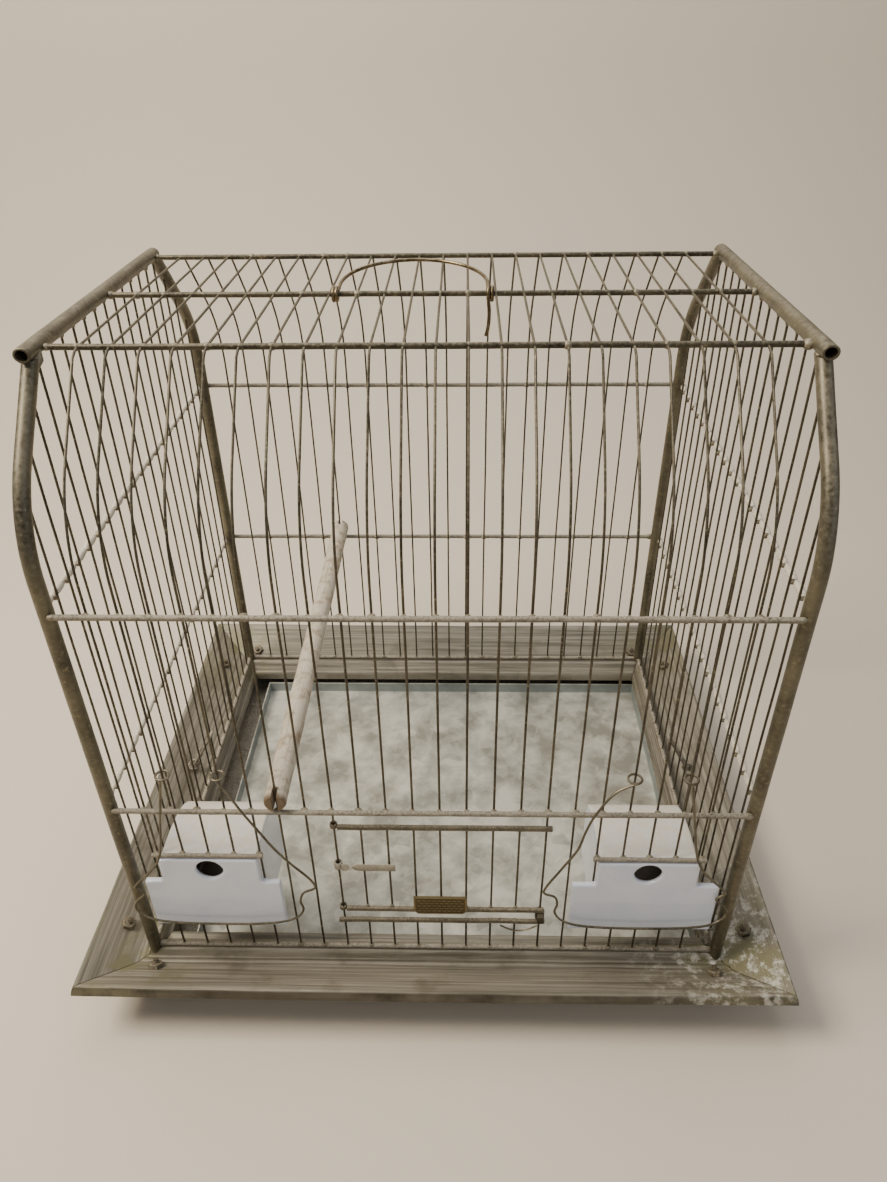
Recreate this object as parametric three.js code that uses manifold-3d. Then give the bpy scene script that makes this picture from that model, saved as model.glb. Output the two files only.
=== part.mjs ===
// A wire bird cage that stands on its own base: four corner posts, curved wire walls, a flat wire roof,
// a sheet-metal flange with a slide-out tray, two lift-out glass feeders, a wire door, a perch and a ring handle.
// Millimetres, +Z up. The origin is on the table, under the middle of the cage. The door faces -Y.
import * as THREE from 'three';
import { mergeVertices } from 'three/addons/utils/BufferGeometryUtils.js';
import Module from 'manifold-3d';

const wasm = await Module();
wasm.setup();

// ---- Driving dimensions ----
const gap = 0.3; // kept between two pieces that touch
const halfWidth = 172.5; // middle of the cage to an end wall
const halfDepth = 142.5; // middle of the cage to the front or back wall
const footLevel = 25; // the posts' feet, above the table
const bottomRodLevel = footLevel + 8;
const lowerRingLevel = footLevel + 131;
const upperRingLevel = footLevel + 259;
const bendLevel = footLevel + 275; // the walls are upright up to here, then bend in
const roofLevel = footLevel + 363;
const bendRadius = 75;
const bendAngle = THREE.MathUtils.degToRad(42); // how far from upright the walls lean under the roof
const roofHalfDepth = 84; // middle of the roof to its front or back rod

const wireRadius = 0.65;
const wireSides = 4;
const rodRadius = 1.5;
const rodSides = 6;
const postRadius = 3.75;
const postSides = 8;
const roofTubeRadius = 3.75;
const roofTubeBore = 2.7;
const roofTubeFront = -99; // the tubes run further forward than back
const roofTubeBack = 90;

const barPitch = 14.5; // front, back and roof wires
const barMiddle = 5.5; // the wire in the middle of the door stands this far to the right of centre
const firstBar = -11;
const lastBar = 10;
const endBarPitch = 14.3; // end-wall wires
const endBarsEachSide = 9;

const feederBars = [-9, 8]; // the wire in the middle of each feeder's opening
const feederHalfBars = 2; // wires from the middle of a feeder to the wires it slides between
const doorHalfBars = 4; // wires from the middle of the door to its two guide wires
const lintelLevel = footLevel + 95;
const feederSillLevel = footLevel + 32;
const doorSillLevel = footLevel + 36.5;
const doorBottomLevel = footLevel + 47;
const doorTopLevel = footLevel + 118;
const stripHeight = 3.6; // the door's folded strips
const stripFront = halfDepth + 2.7;
const stripBack = halfDepth + 0.4;

const ringOffset = 3; // the ring rods lie this far outside the wires
const rodEnd = halfWidth - postRadius - 2 * gap; // half length of the rods between two posts
const rodEndDeep = halfDepth - postRadius - 2 * gap;

// ---- Colours and finishes ----
const agedBrass = finish(0x5f5745, 0.5, 0.8);
const dustyRod = finish(0x9b9384, 0.6, 0.6);
const weatheredSheet = finish(0x8f8b7f, 0.7, 0.5);
const galvanised = finish(0xb9b8ac, 0.6, 0.6);
const milkGlass = finish(0xcfd8e6, 0.15, 0);
const springWire = finish(0x7a7264, 0.45, 0.9);
const brightBrass = finish(0x8f7a48, 0.35, 0.95);
const rawWood = finish(0xc9c0ae, 0.85, 0);
const darkBronze = finish(0x5a5038, 0.55, 0.8);

function finish(color, roughness, metalness) {
  return new THREE.MeshStandardMaterial({ color, roughness, metalness });
}

// ---- Shapes ----
// A wire's centre line. The tube along it turns only at the points given.
class BentWire extends THREE.Curve {
  constructor(points) {
    super();
    this.points = points;
  }

  getPoint(t) {
    const place = t * (this.points.length - 1);
    const index = Math.min(Math.floor(place), this.points.length - 2);
    return this.points[index].clone().lerp(this.points[index + 1], place - index);
  }

  getPointAt(u) {
    return this.getPoint(u);
  }

  getSpacedPoints() {
    return this.points.map((point) => point.clone());
  }

  getTangentAt(u) {
    const index = Math.round(u * (this.points.length - 1));
    const here = this.points[index];
    const tangent = new THREE.Vector3();
    if (index > 0) {
      tangent.add(here.clone().sub(this.points[index - 1]).normalize());
    }
    if (index < this.points.length - 1) {
      tangent.add(this.points[index + 1].clone().sub(here).normalize());
    }
    return tangent.normalize();
  }
}

// A regular outline with the same area as the round section it stands for.
function sectionPoints(radius, sides) {
  const reach = radius * Math.sqrt((2 * Math.PI) / (sides * Math.sin((2 * Math.PI) / sides)));
  const points = [];
  for (let side = 0; side < sides; side += 1) {
    const angle = ((side + 0.5) * 2 * Math.PI) / sides;
    points.push(new THREE.Vector2(reach * Math.cos(angle), reach * Math.sin(angle)));
  }
  return points;
}

function wireAlong(points, radius, sides) {
  const path = new BentWire(points.map(([x, y, z]) => new THREE.Vector3(x, y, z)));
  return new THREE.ExtrudeGeometry(new THREE.Shape(sectionPoints(radius, sides)), {
    steps: points.length - 1,
    extrudePath: path,
    bevelEnabled: false,
  });
}

function rodAlongX(from, to, y, z, radius = rodRadius) {
  return wireAlong([[from, y, z], [to, y, z]], radius, rodSides);
}

function rodAlongY(from, to, x, z, radius = rodRadius) {
  return wireAlong([[x, from, z], [x, to, z]], radius, rodSides);
}

function boxBetween(low, high) {
  const size = high.map((value, axis) => value - low[axis]);
  const middle = high.map((value, axis) => (value + low[axis]) / 2);
  return new THREE.BoxGeometry(...size).translate(...middle);
}

function uprightCylinder(radius, from, to, x, y, sides = postSides) {
  const cylinder = new THREE.CylinderGeometry(radius, radius, to - from, sides);
  return cylinder.rotateX(Math.PI / 2).translate(x, y, (from + to) / 2);
}

function eyeRing(ringRadius, radius, segments, sides) {
  return new THREE.TorusGeometry(ringRadius, radius, sides, segments);
}

// ---- Joining and cutting ----
function toSolid(geometry) {
  const bare = geometry.clone();
  bare.deleteAttribute('normal');
  bare.deleteAttribute('uv');
  const welded = mergeVertices(bare, 1e-4);
  return new wasm.Manifold(new wasm.Mesh({
    numProp: 3,
    vertProperties: Float32Array.from(welded.attributes.position.array),
    triVerts: Uint32Array.from(welded.index.array),
  }));
}

function toGeometry(solid) {
  const mesh = solid.getMesh();
  const geometry = new THREE.BufferGeometry();
  geometry.setAttribute('position', new THREE.BufferAttribute(Float32Array.from(mesh.vertProperties), 3));
  geometry.setIndex(new THREE.BufferAttribute(Uint32Array.from(mesh.triVerts), 1));
  geometry.computeVertexNormals();
  return geometry;
}

function shaped(joined, removed = []) {
  let solid = toSolid(joined[0]);
  for (const geometry of joined.slice(1)) {
    solid = solid.add(toSolid(geometry));
  }
  for (const geometry of removed) {
    solid = solid.subtract(toSolid(geometry));
  }
  return toGeometry(solid);
}

const cage = new THREE.Group();

function addPart(name, geometry, material, parent = cage) {
  const mesh = new THREE.Mesh(geometry, material);
  mesh.name = name;
  parent.add(mesh);
  return mesh;
}

// ---- Wire walls ----
function barX(index) {
  return barMiddle + barPitch * index;
}

// Points up a front or back wire or a post, from a level to where the lean ends. side is -1 for the front.
function wallPoints(x, side, fromLevel, topReach) {
  const points = [[x, side * halfDepth, fromLevel], [x, side * halfDepth, bendLevel]];
  const arcSteps = 5;
  for (let step = 1; step <= arcSteps; step += 1) {
    const angle = (bendAngle * step) / arcSteps;
    const reach = halfDepth - bendRadius * (1 - Math.cos(angle));
    points.push([x, side * reach, bendLevel + bendRadius * Math.sin(angle)]);
  }
  const [, lastY, lastZ] = points[points.length - 1];
  const run = Math.abs(lastY) - topReach;
  points.push([x, side * topReach, lastZ + run / Math.tan(bendAngle)]);
  return points;
}

// The level of the posts' underside over a given distance from the middle, for the end wires that stop under it.
function postUndersideAt(reach) {
  const radius = bendRadius - postRadius - 2 * gap;
  const centreReach = halfDepth - bendRadius;
  const angle = Math.acos(Math.min(1, Math.max(-1, (reach - centreReach) / radius)));
  if (angle <= bendAngle) {
    return bendLevel + radius * Math.sin(angle);
  }
  const pastArc = centreReach + radius * Math.cos(bendAngle) - reach;
  return bendLevel + radius * Math.sin(bendAngle) + pastArc / Math.tan(bendAngle);
}

function wallWire(x, side, fromLevel) {
  const leanEnd = 90.5;
  const points = wallPoints(x, side, fromLevel, leanEnd);
  points.push([x, side * roofHalfDepth, roofLevel]);
  return wireAlong(points, wireRadius, wireSides);
}

function frontWireStart(index) {
  if (Math.abs(index) < doorHalfBars) {
    return lowerRingLevel;
  }
  if (feederBars.some((middle) => Math.abs(index - middle) < feederHalfBars)) {
    return lintelLevel;
  }
  return bottomRodLevel + rodRadius + 2 * gap;
}

function buildFrontWires() {
  const pieces = [rodAlongX(-rodEnd, rodEnd, -roofHalfDepth, roofLevel)];
  for (let index = firstBar; index <= lastBar; index += 1) {
    pieces.push(wallWire(barX(index), -1, frontWireStart(index)));
  }
  addPart('front_wires', shaped(pieces), agedBrass);
}

function buildBackWires() {
  const pieces = [
    rodAlongX(-rodEnd, rodEnd, roofHalfDepth, roofLevel),
    rodAlongX(-rodEnd, rodEnd, halfDepth, bottomRodLevel),
  ];
  for (let index = firstBar; index <= lastBar; index += 1) {
    pieces.push(wallWire(barX(index), 1, bottomRodLevel));
  }
  addPart('back_wires', shaped(pieces), agedBrass);
}

function buildEndWires(name, side) {
  const x = side * halfWidth;
  const tubeUnderside = roofLevel + 1 - roofTubeRadius - 2 * gap;
  const pieces = [rodAlongY(-rodEndDeep, rodEndDeep, x, bottomRodLevel)];
  for (let index = -endBarsEachSide; index <= endBarsEachSide; index += 1) {
    const y = endBarPitch * index;
    const top = Math.min(tubeUnderside, postUndersideAt(Math.abs(y) + wireRadius + gap));
    pieces.push(wireAlong([[x, y, bottomRodLevel], [x, y, top]], wireRadius, wireSides));
  }
  addPart(name, shaped(pieces), agedBrass);
}

function buildRoofWires() {
  const reach = roofHalfDepth - rodRadius - 2 * gap;
  const pieces = [rodAlongX(-rodEnd, rodEnd, 0, roofLevel)];
  for (let index = firstBar; index <= lastBar; index += 1) {
    const x = barX(index);
    pieces.push(wireAlong([[x, -reach, roofLevel], [x, reach, roofLevel]], wireRadius, wireSides));
  }
  addPart('roof_wires', shaped(pieces), agedBrass);
}

// The front's bottom rod, the short wires that stand on it, and the sills they carry.
function buildFrontSill() {
  const pieces = [rodAlongX(-rodEnd, rodEnd, -halfDepth, bottomRodLevel)];
  const stub = (index, top) => {
    const x = barX(index);
    pieces.push(wireAlong([[x, -halfDepth, bottomRodLevel], [x, -halfDepth, top]], wireRadius, wireSides));
  };
  for (const middle of feederBars) {
    for (let index = middle - feederHalfBars + 1; index < middle + feederHalfBars; index += 1) {
      stub(index, feederSillLevel);
    }
    const reach = feederHalfBars * barPitch - 1.2 - gap;
    const centre = barX(middle);
    pieces.push(rodAlongX(centre - reach, centre + reach, -halfDepth, feederSillLevel, 1.3));
  }
  for (let index = 1 - doorHalfBars; index < doorHalfBars; index += 1) {
    stub(index, doorSillLevel);
  }
  pieces.push(doorStrip(doorSillLevel, 3, 3));
  const clearances = [-doorHalfBars, doorHalfBars].map((index) => (
    uprightCylinder(1.6, doorSillLevel - 5, doorSillLevel + 5, barX(index), -halfDepth)
  ));
  addPart('front_sill', shaped(pieces, clearances), dustyRod);
}

// A flat strip across the door opening, from left of the left guide wire to right of the right one.
function doorStrip(level, leftOverhang, rightOverhang) {
  return boxBetween(
    [barX(-doorHalfBars) - leftOverhang, -stripFront, level - stripHeight / 2],
    [barX(doorHalfBars) + rightOverhang, -stripBack, level + stripHeight / 2],
  );
}

// ---- Posts, roof tubes and ring rods ----
function buildPosts() {
  const corners = [['front_left', -1, -1], ['front_right', 1, -1], ['back_left', -1, 1], ['back_right', 1, 1]];
  for (const [corner, sideX, sideY] of corners) {
    const x = sideX * halfWidth;
    const post = wireAlong(wallPoints(x, sideY, footLevel - 1.6, 86), postRadius, postSides);
    const tubeSpace = wireAlong(
      [[x, roofTubeFront - 9, roofLevel + 1], [x, roofTubeBack + 9, roofLevel + 1]],
      roofTubeRadius + 2 * gap,
      10,
    );
    const overTube = boxBetween([x - 9, -120, roofLevel + 1], [x + 9, 120, roofLevel + 30]);
    addPart(`post_${corner}`, shaped([post], [tubeSpace, overTube]), agedBrass);
  }
}

function buildRoofTubes() {
  const outline = new THREE.Shape(sectionPoints(roofTubeRadius, 10));
  outline.holes.push(new THREE.Path(sectionPoints(roofTubeBore, 10).reverse()));
  for (const [name, side] of [['roof_tube_left', -1], ['roof_tube_right', 1]]) {
    const tube = new THREE.ExtrudeGeometry(outline, { depth: roofTubeBack - roofTubeFront, bevelEnabled: false });
    tube.rotateX(Math.PI / 2).translate(0, roofTubeBack, 0);
    addPart(name, tube, agedBrass).position.set(side * halfWidth, 0, roofLevel + 1);
  }
}

function buildRingRods() {
  for (const [ring, level] of [['lower', lowerRingLevel], ['upper', upperRingLevel]]) {
    const frontY = halfDepth + ringOffset;
    const endX = halfWidth + ringOffset;
    addPart(`${ring}_rod_front`, rodAlongX(-rodEnd, rodEnd, -frontY, level), dustyRod);
    addPart(`${ring}_rod_back`, rodAlongX(-rodEnd, rodEnd, frontY, level), dustyRod);
    addPart(`${ring}_rod_left`, rodAlongY(-rodEndDeep, rodEndDeep, -endX, level), dustyRod);
    addPart(`${ring}_rod_right`, rodAlongY(-rodEndDeep, rodEndDeep, endX, level), dustyRod);
  }
}

// ---- Base: four mitred flange sheets on a low skirt ----
const sheetThickness = 1.2;
const slopeStart = [9.5, 1.2];
const slopeEnd = [34.5, 18];
const slopeAngle = Math.atan2(slopeEnd[1] - slopeStart[1], slopeEnd[0] - slopeStart[0]);
const skirtOut = 7.5; // the skirt's outer face, outside the wall planes
const skirtSheet = 1.5;
const skirtTop = footLevel - 2.2;
const runnerTop = 4.2;
// The top face of the flange across its width: [distance outside the wall plane, height over the posts' feet].
// From the inside out: the drop into the opening, a bead, the ridge under the bottom rod, a step, the slope
// up to the lip, and the lip's outer face.
const flangeTopLine = [
  [-14, -6], [-14, 0], [-11.5, 2], [-7.5, 0.2], [-4.5, 5], [-3, 6], [2.5, 6], [4.5, 0.8],
  [7, 2.4], slopeStart, slopeEnd, [36.3, 18.2], [37.8, 12.4],
];

function slopeHeight(out) {
  return slopeStart[1] + (out - slopeStart[0]) * Math.tan(slopeAngle);
}

function offsetBelow(line, distance) {
  return line.map((point, index) => {
    const here = new THREE.Vector2(...point);
    const normals = [];
    for (const [from, to] of [[index - 1, index], [index, index + 1]]) {
      if (from >= 0 && to < line.length) {
        const along = new THREE.Vector2(...line[to]).sub(new THREE.Vector2(...line[from])).normalize();
        normals.push(new THREE.Vector2(along.y, -along.x));
      }
    }
    const middle = normals.reduce((sum, normal) => sum.add(normal), new THREE.Vector2()).normalize();
    return here.addScaledVector(middle, distance / middle.dot(normals[normals.length - 1]));
  });
}

// One flange sheet. Its ends are cut on the mitre, so that every point runs on to the same point of its neighbour.
// The opening's edge lies nearer the wall on the two ends of the cage than on the front and back.
function flangeSheet(along, across, acrossShrink, alongShrink) {
  const top = flangeTopLine.map((point) => new THREE.Vector2(...point));
  const outline = [...top, ...offsetBelow(flangeTopLine, sheetThickness).reverse()];
  const sheet = new THREE.ExtrudeGeometry(new THREE.Shape(outline), { depth: 1, bevelEnabled: false });
  const place = sheet.attributes.position;
  const shrunk = (out, shrink) => (out < 0 ? out * shrink : out);
  for (let index = 0; index < place.count; index += 1) {
    const out = place.getX(index);
    const height = place.getY(index);
    const end = place.getZ(index) > 0.5 ? -1 : 1;
    const mitre = along + shrunk(out, alongShrink) - gap;
    place.setXYZ(index, across + shrunk(out, acrossShrink), end * mitre, footLevel + height);
  }
  return sheet;
}

const endShrink = 0.43;

function cornerFastenerSpots(sideX, sideY) {
  return [
    {
      position: [sideX * (halfWidth + 21), sideY * 130, footLevel + slopeHeight(21)],
      tilt: [0, -sideX * slopeAngle, 0],
    },
    {
      position: [sideX * 169, sideY * (halfDepth + 14), footLevel + slopeHeight(14)],
      tilt: [sideY * slopeAngle, 0, 0],
    },
  ];
}

function fastenerCylinder(spot, radius, from, to) {
  const cylinder = uprightCylinder(radius, from, to, 0, 0);
  return cylinder.rotateX(spot.tilt[0]).rotateY(spot.tilt[1]).translate(...spot.position);
}

const cornerSides = [['front_left', -1, -1], ['front_right', 1, -1], ['back_left', -1, 1], ['back_right', 1, 1]];
const allSpots = cornerSides.flatMap(([, sideX, sideY]) => cornerFastenerSpots(sideX, sideY));
const clipY = endBarPitch / 2; // the side clips stand in the space between two end wires
const eyeOut = 17.5;

function eyeSpot(side) {
  return {
    position: [side * (halfWidth + eyeOut), clipY, footLevel + slopeHeight(eyeOut)],
    tilt: [0, -side * slopeAngle, 0],
  };
}

function buildFlange() {
  const holes = [...allSpots, eyeSpot(-1), eyeSpot(1)].map((spot) => fastenerCylinder(spot, 2.4, -6, 6));
  for (const corner of cornerSides) {
    const [, sideX, sideY] = corner;
    const x = sideX * halfWidth;
    const y = sideY * halfDepth;
    holes.push(uprightCylinder(postRadius + 0.8, footLevel - 4, footLevel + 12, x, y));
  }
  for (const [name, turn] of [['flange_right', 0], ['flange_left', Math.PI]]) {
    const sheet = flangeSheet(halfDepth, halfWidth, endShrink, 1).rotateZ(turn);
    addPart(name, shaped([sheet], holes), weatheredSheet);
  }
  for (const [name, turn] of [['flange_back', Math.PI / 2], ['flange_front', -Math.PI / 2]]) {
    const sheet = flangeSheet(halfWidth, halfDepth, 1, endShrink).rotateZ(turn);
    addPart(name, shaped([sheet], holes), weatheredSheet);
  }
}

// The low box under the flange: its top edge is folded in to carry the flange, and its bottom edge to carry the tray.
function buildSkirt() {
  const outX = halfWidth + skirtOut;
  const outY = halfDepth + skirtOut;
  const body = boxBetween([-outX, -outY, 0], [outX, outY, skirtTop]);
  const inside = boxBetween(
    [-outX + skirtSheet, -outY + skirtSheet, runnerTop],
    [outX - skirtSheet, outY - skirtSheet, skirtTop - skirtSheet],
  );
  const topOpening = boxBetween([-170.5, -134.5, skirtTop - 5], [170.5, 134.5, skirtTop + 5]);
  const bottomOpening = boxBetween([-148, -136, -1], [148, 136, runnerTop + 1]);
  const traySlot = boxBetween([-161, -outY - 1, runnerTop], [174, -outY + skirtSheet + 1, 17.5]);
  addPart('skirt', shaped([body], [inside, topOpening, bottomOpening, traySlot]), weatheredSheet);
}

function buildTray() {
  const low = [-155, -152, runnerTop + gap];
  const high = [168, 128, 15.5];
  const wall = 1.2;
  const pan = boxBetween(low, high);
  const hollow = boxBetween([low[0] + wall, -150.2, low[2] + 1.5], [high[0] - wall, high[1] - wall, 30]);
  const front = boxBetween([-165, -152, 3], [178, -150.4, 20]);
  const fingerLip = boxBetween([-60, -158, 3], [60, -151.5, 4.6]);
  addPart('tray', shaped([pan, front, fingerLip], [hollow]), galvanised);
}

// A gusset under each corner of the flange, with two studs that come up through it, and their nuts.
function buildCornerHardware() {
  const low = footLevel - 2.2;
  const high = footLevel - 0.7;
  for (const [corner, sideX, sideY] of cornerSides) {
    const spots = cornerFastenerSpots(sideX, sideY);
    const xs = (from, to) => [sideX * from, sideX * to].sort((a, b) => a - b);
    const ys = (from, to) => [sideY * from, sideY * to].sort((a, b) => a - b);
    const [frontX0, frontX1] = xs(160, 200);
    const [frontY0, frontY1] = ys(halfDepth + 8, halfDepth + 19);
    const [endX0, endX1] = xs(halfWidth + 8, halfWidth + 27);
    const [endY0, endY1] = ys(122, halfDepth + 19);
    const pieces = [
      boxBetween([frontX0, frontY0, low], [frontX1, frontY1, high]),
      boxBetween([endX0, endY0, low], [endX1, endY1, high]),
    ];
    spots.forEach((spot, index) => {
      const root = index === 0 ? -14 : -7;
      pieces.push(fastenerCylinder(spot, 1.7, root, 5.2));
    });
    const trim = boxBetween([-300, -300, -50], [300, 300, low]);
    addPart(`corner_gusset_${corner}`, shaped(pieces, [trim]), darkBronze);
    spots.forEach((spot, index) => {
      const nut = addPart(`flange_nut_${corner}_${index + 1}`, nutGeometry(), weatheredSheet);
      nut.position.set(...spot.position);
      nut.rotation.set(...spot.tilt);
      nut.translateZ(gap);
    });
  }
}

function nutGeometry() {
  const outline = new THREE.Shape(sectionPoints(3.9, 6));
  outline.holes.push(new THREE.Path(sectionPoints(2.1, 8).reverse()));
  return new THREE.ExtrudeGeometry(outline, { depth: 3, bevelEnabled: false });
}

// ---- Side clips: a long wire loop on an eye bolt, leaning against the end wall ----
const clipRest = THREE.MathUtils.degToRad(30); // the clip leans this far in from upright
const eyeLift = 6.6; // the eye's middle above the flange, square to it

function eyeMiddle(side) {
  const x = side * (halfWidth + eyeOut - eyeLift * Math.sin(slopeAngle));
  return [x, clipY, footLevel + slopeHeight(eyeOut) + eyeLift * Math.cos(slopeAngle)];
}

function buildSideClips() {
  for (const [name, side] of [['left', -1], ['right', 1]]) {
    const spot = eyeSpot(side);
    const shank = uprightCylinder(1.5, -5, 4.4, 0, 0);
    const collar = uprightCylinder(4.2, gap, 2.6, 0, 0, 6);
    const eye = eyeRing(3, 1, 10, 5).rotateX(Math.PI / 2).translate(0, 0, eyeLift);
    const bolt = addPart(`side_eye_${name}`, shaped([shank, collar, eye]), dustyRod);
    bolt.position.set(...spot.position);
    bolt.rotation.set(...spot.tilt);

    const clip = addPart(`side_clip_${name}`, clipGeometry(), dustyRod);
    clip.position.set(...eyeMiddle(side));
    clip.rotation.set(0, -side * clipRest, 0);
  }
}

function clipGeometry() {
  const halfLoop = 3.3;
  const length = 36;
  const points = [];
  const bend = (middleZ, startAngle) => {
    for (let step = 0; step <= 4; step += 1) {
      const angle = startAngle + (Math.PI * step) / 4;
      points.push([0, halfLoop * Math.cos(angle), middleZ + halfLoop * Math.sin(angle)]);
    }
  };
  const join = [0, halfLoop, length / 2];
  points.push(join);
  bend(length - halfLoop, 0);
  bend(halfLoop, Math.PI);
  points.push(join);
  const path = new BentWire(points.map(([x, y, z]) => new THREE.Vector3(x, y, z)));
  const loop = new THREE.TubeGeometry(path, points.length - 1, 1, 5, true);
  const binding = new THREE.CylinderGeometry(halfLoop + 1.3, halfLoop + 1.3, 1.8, 8, 1)
    .scale(0.42, 1, 1).rotateX(Math.PI / 2).translate(0, 0, 13);
  return shaped([loop, binding]);
}

// ---- Door: wires between two strips, hung on the left guide wire ----
function knuckle(from, to) {
  return uprightCylinder(2.8, from, to, barX(-doorHalfBars), -halfDepth);
}

function buildDoor() {
  const rails = [[doorTopLevel, 3], [doorBottomLevel, 1.2]];
  const pieces = [];
  const removed = [];
  for (const [level, rightOverhang] of rails) {
    pieces.push(doorStrip(level, 0, rightOverhang));
    pieces.push(knuckle(level - stripHeight / 2, level + stripHeight / 2));
    for (const index of [-doorHalfBars, doorHalfBars]) {
      removed.push(uprightCylinder(1.6, level - 5, level + 5, barX(index), -halfDepth));
    }
  }
  for (let index = 1 - doorHalfBars; index < doorHalfBars; index += 1) {
    const x = barX(index);
    const ends = [[x, -halfDepth, doorBottomLevel], [x, -halfDepth, doorTopLevel]];
    pieces.push(wireAlong(ends, wireRadius, wireSides));
  }
  addPart('door_panel', shaped(pieces, removed), agedBrass);

  const strapLevel = footLevel + 85;
  const strap = boxBetween(
    [barX(-doorHalfBars), -stripFront, strapLevel - 2.4],
    [barX(2 - doorHalfBars) + 3.5, -stripFront + 1.1, strapLevel + 2.4],
  );
  const strapHole = uprightCylinder(1.6, strapLevel - 5, strapLevel + 5, barX(-doorHalfBars), -halfDepth);
  addPart('door_strap', shaped([strap, knuckle(strapLevel - 2.4, strapLevel + 2.4)], [strapHole]), dustyRod);

  const plate = new THREE.Shape();
  const halfPlate = 15.5;
  const halfTall = 7.6;
  const corner = 2;
  plate.moveTo(-halfPlate + corner, -halfTall);
  plate.lineTo(halfPlate - corner, -halfTall);
  plate.lineTo(halfPlate, -halfTall + corner);
  plate.lineTo(halfPlate, halfTall);
  plate.lineTo(-halfPlate, halfTall);
  plate.lineTo(-halfPlate, -halfTall + corner);
  const plateBody = new THREE.ExtrudeGeometry(plate, { depth: 1, bevelEnabled: false }).rotateX(Math.PI / 2);
  const mesh = addPart('door_plate', plateBody, darkBronze);
  mesh.position.set(barX(0) - 0.5, -stripFront - gap, doorBottomLevel + 6.5);

  const guide = barX(doorHalfBars);
  const sleeveTop = doorBottomLevel - stripHeight / 2 - gap;
  const sleeveFoot = doorSillLevel + stripHeight / 2 + gap;
  const sleeve = uprightCylinder(2.8, sleeveFoot, sleeveTop, guide, -halfDepth);
  const thumb = boxBetween([guide - 1.8, -halfDepth - 5.2, sleeveFoot], [guide + 1.8, -halfDepth - 1.6, sleeveTop]);
  const sleeveHole = uprightCylinder(1.6, sleeveFoot - 5, sleeveTop + 5, guide, -halfDepth);
  addPart('door_latch', shaped([sleeve, thumb], [sleeveHole]), darkBronze);
}

// ---- Feeders: a stepped glass front, and a hooded cup behind it inside the cage ----
const plateFront = halfDepth + 5.1;
const plateBack = halfDepth + 1.4;
const feederBottom = footLevel + 34.5;
const feederShoulder = footLevel + 74.5;
const feederTop = footLevel + 93.2;
const cupBack = 90;

function feederPlate(lowerHalf) {
  const upperHalf = 28.2;
  const lower = boxBetween([-lowerHalf, -plateFront, feederBottom], [lowerHalf, -plateBack, feederShoulder]);
  const upper = boxBetween([-upperHalf, -plateFront, feederShoulder - 1], [upperHalf, -plateBack, feederTop]);
  return [lower, upper];
}

// The side view of the cup, drawn with depth across and height up: flat back, flat bottom, rounded hood.
function cupBody(halfAcross, inset) {
  const outline = new THREE.Shape();
  const front = plateBack - inset + 0.1;
  const back = cupBack + inset;
  const bottom = feederBottom + inset;
  const hoodFront = feederTop - inset;
  const hoodBack = feederTop - 20 - inset;
  outline.moveTo(-front, bottom);
  outline.lineTo(-back, bottom);
  outline.lineTo(-back, hoodBack);
  const hoodSteps = 5;
  for (let step = 1; step <= hoodSteps; step += 1) {
    const angle = (Math.PI / 2) * (step / hoodSteps);
    const depth = back + (front - back - 14) * (1 - Math.cos(angle));
    outline.lineTo(-depth, hoodBack + (hoodFront - hoodBack) * Math.sin(angle));
  }
  outline.lineTo(-front, hoodFront);
  const body = new THREE.ExtrudeGeometry(outline, { depth: 2 * halfAcross, bevelEnabled: false });
  return body.rotateX(Math.PI / 2).rotateZ(Math.PI / 2).translate(-halfAcross, 0, 0);
}

function buildFeeders() {
  const cupWall = 3;
  const cupHalf = 27.2;
  const holeRadius = 7.5;
  const hole = new THREE.CylinderGeometry(holeRadius, holeRadius, 12, 12)
    .translate(0, -plateFront + 5.5, footLevel + 84.8);
  const mouth = boxBetween([-18, -cupBack - 8, footLevel + 52], [18, -cupBack + 8, footLevel + 76]);
  const plateHalves = [39, 41.5]; // the left feeder's plate is the narrower one
  feederBars.forEach((middle, index) => {
    const geometry = shaped(
      [...feederPlate(plateHalves[index]), cupBody(cupHalf, 0)],
      [cupBody(cupHalf - cupWall, cupWall), hole, mouth],
    );
    const feeder = addPart(`feeder_${index === 0 ? 'left' : 'right'}`, geometry, milkGlass);
    feeder.position.x = barX(middle);
  });
}

function buildLintels() {
  feederBars.forEach((middle, index) => {
    const reach = feederHalfBars * barPitch + 2.2;
    const lintel = rodAlongX(-reach, reach, -halfDepth - ringOffset, lintelLevel, 1.3);
    addPart(`feeder_lintel_${index === 0 ? 'left' : 'right'}`, lintel, dustyRod).position.x = barX(middle);
  });
}

// ---- Feeder bails: spring wire hung by two eyes, looped across the front of each feeder ----
const bailLevel = footLevel + 155;
const bailRadius = 0.7;
const bailPlane = halfDepth + 6.8;

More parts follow.
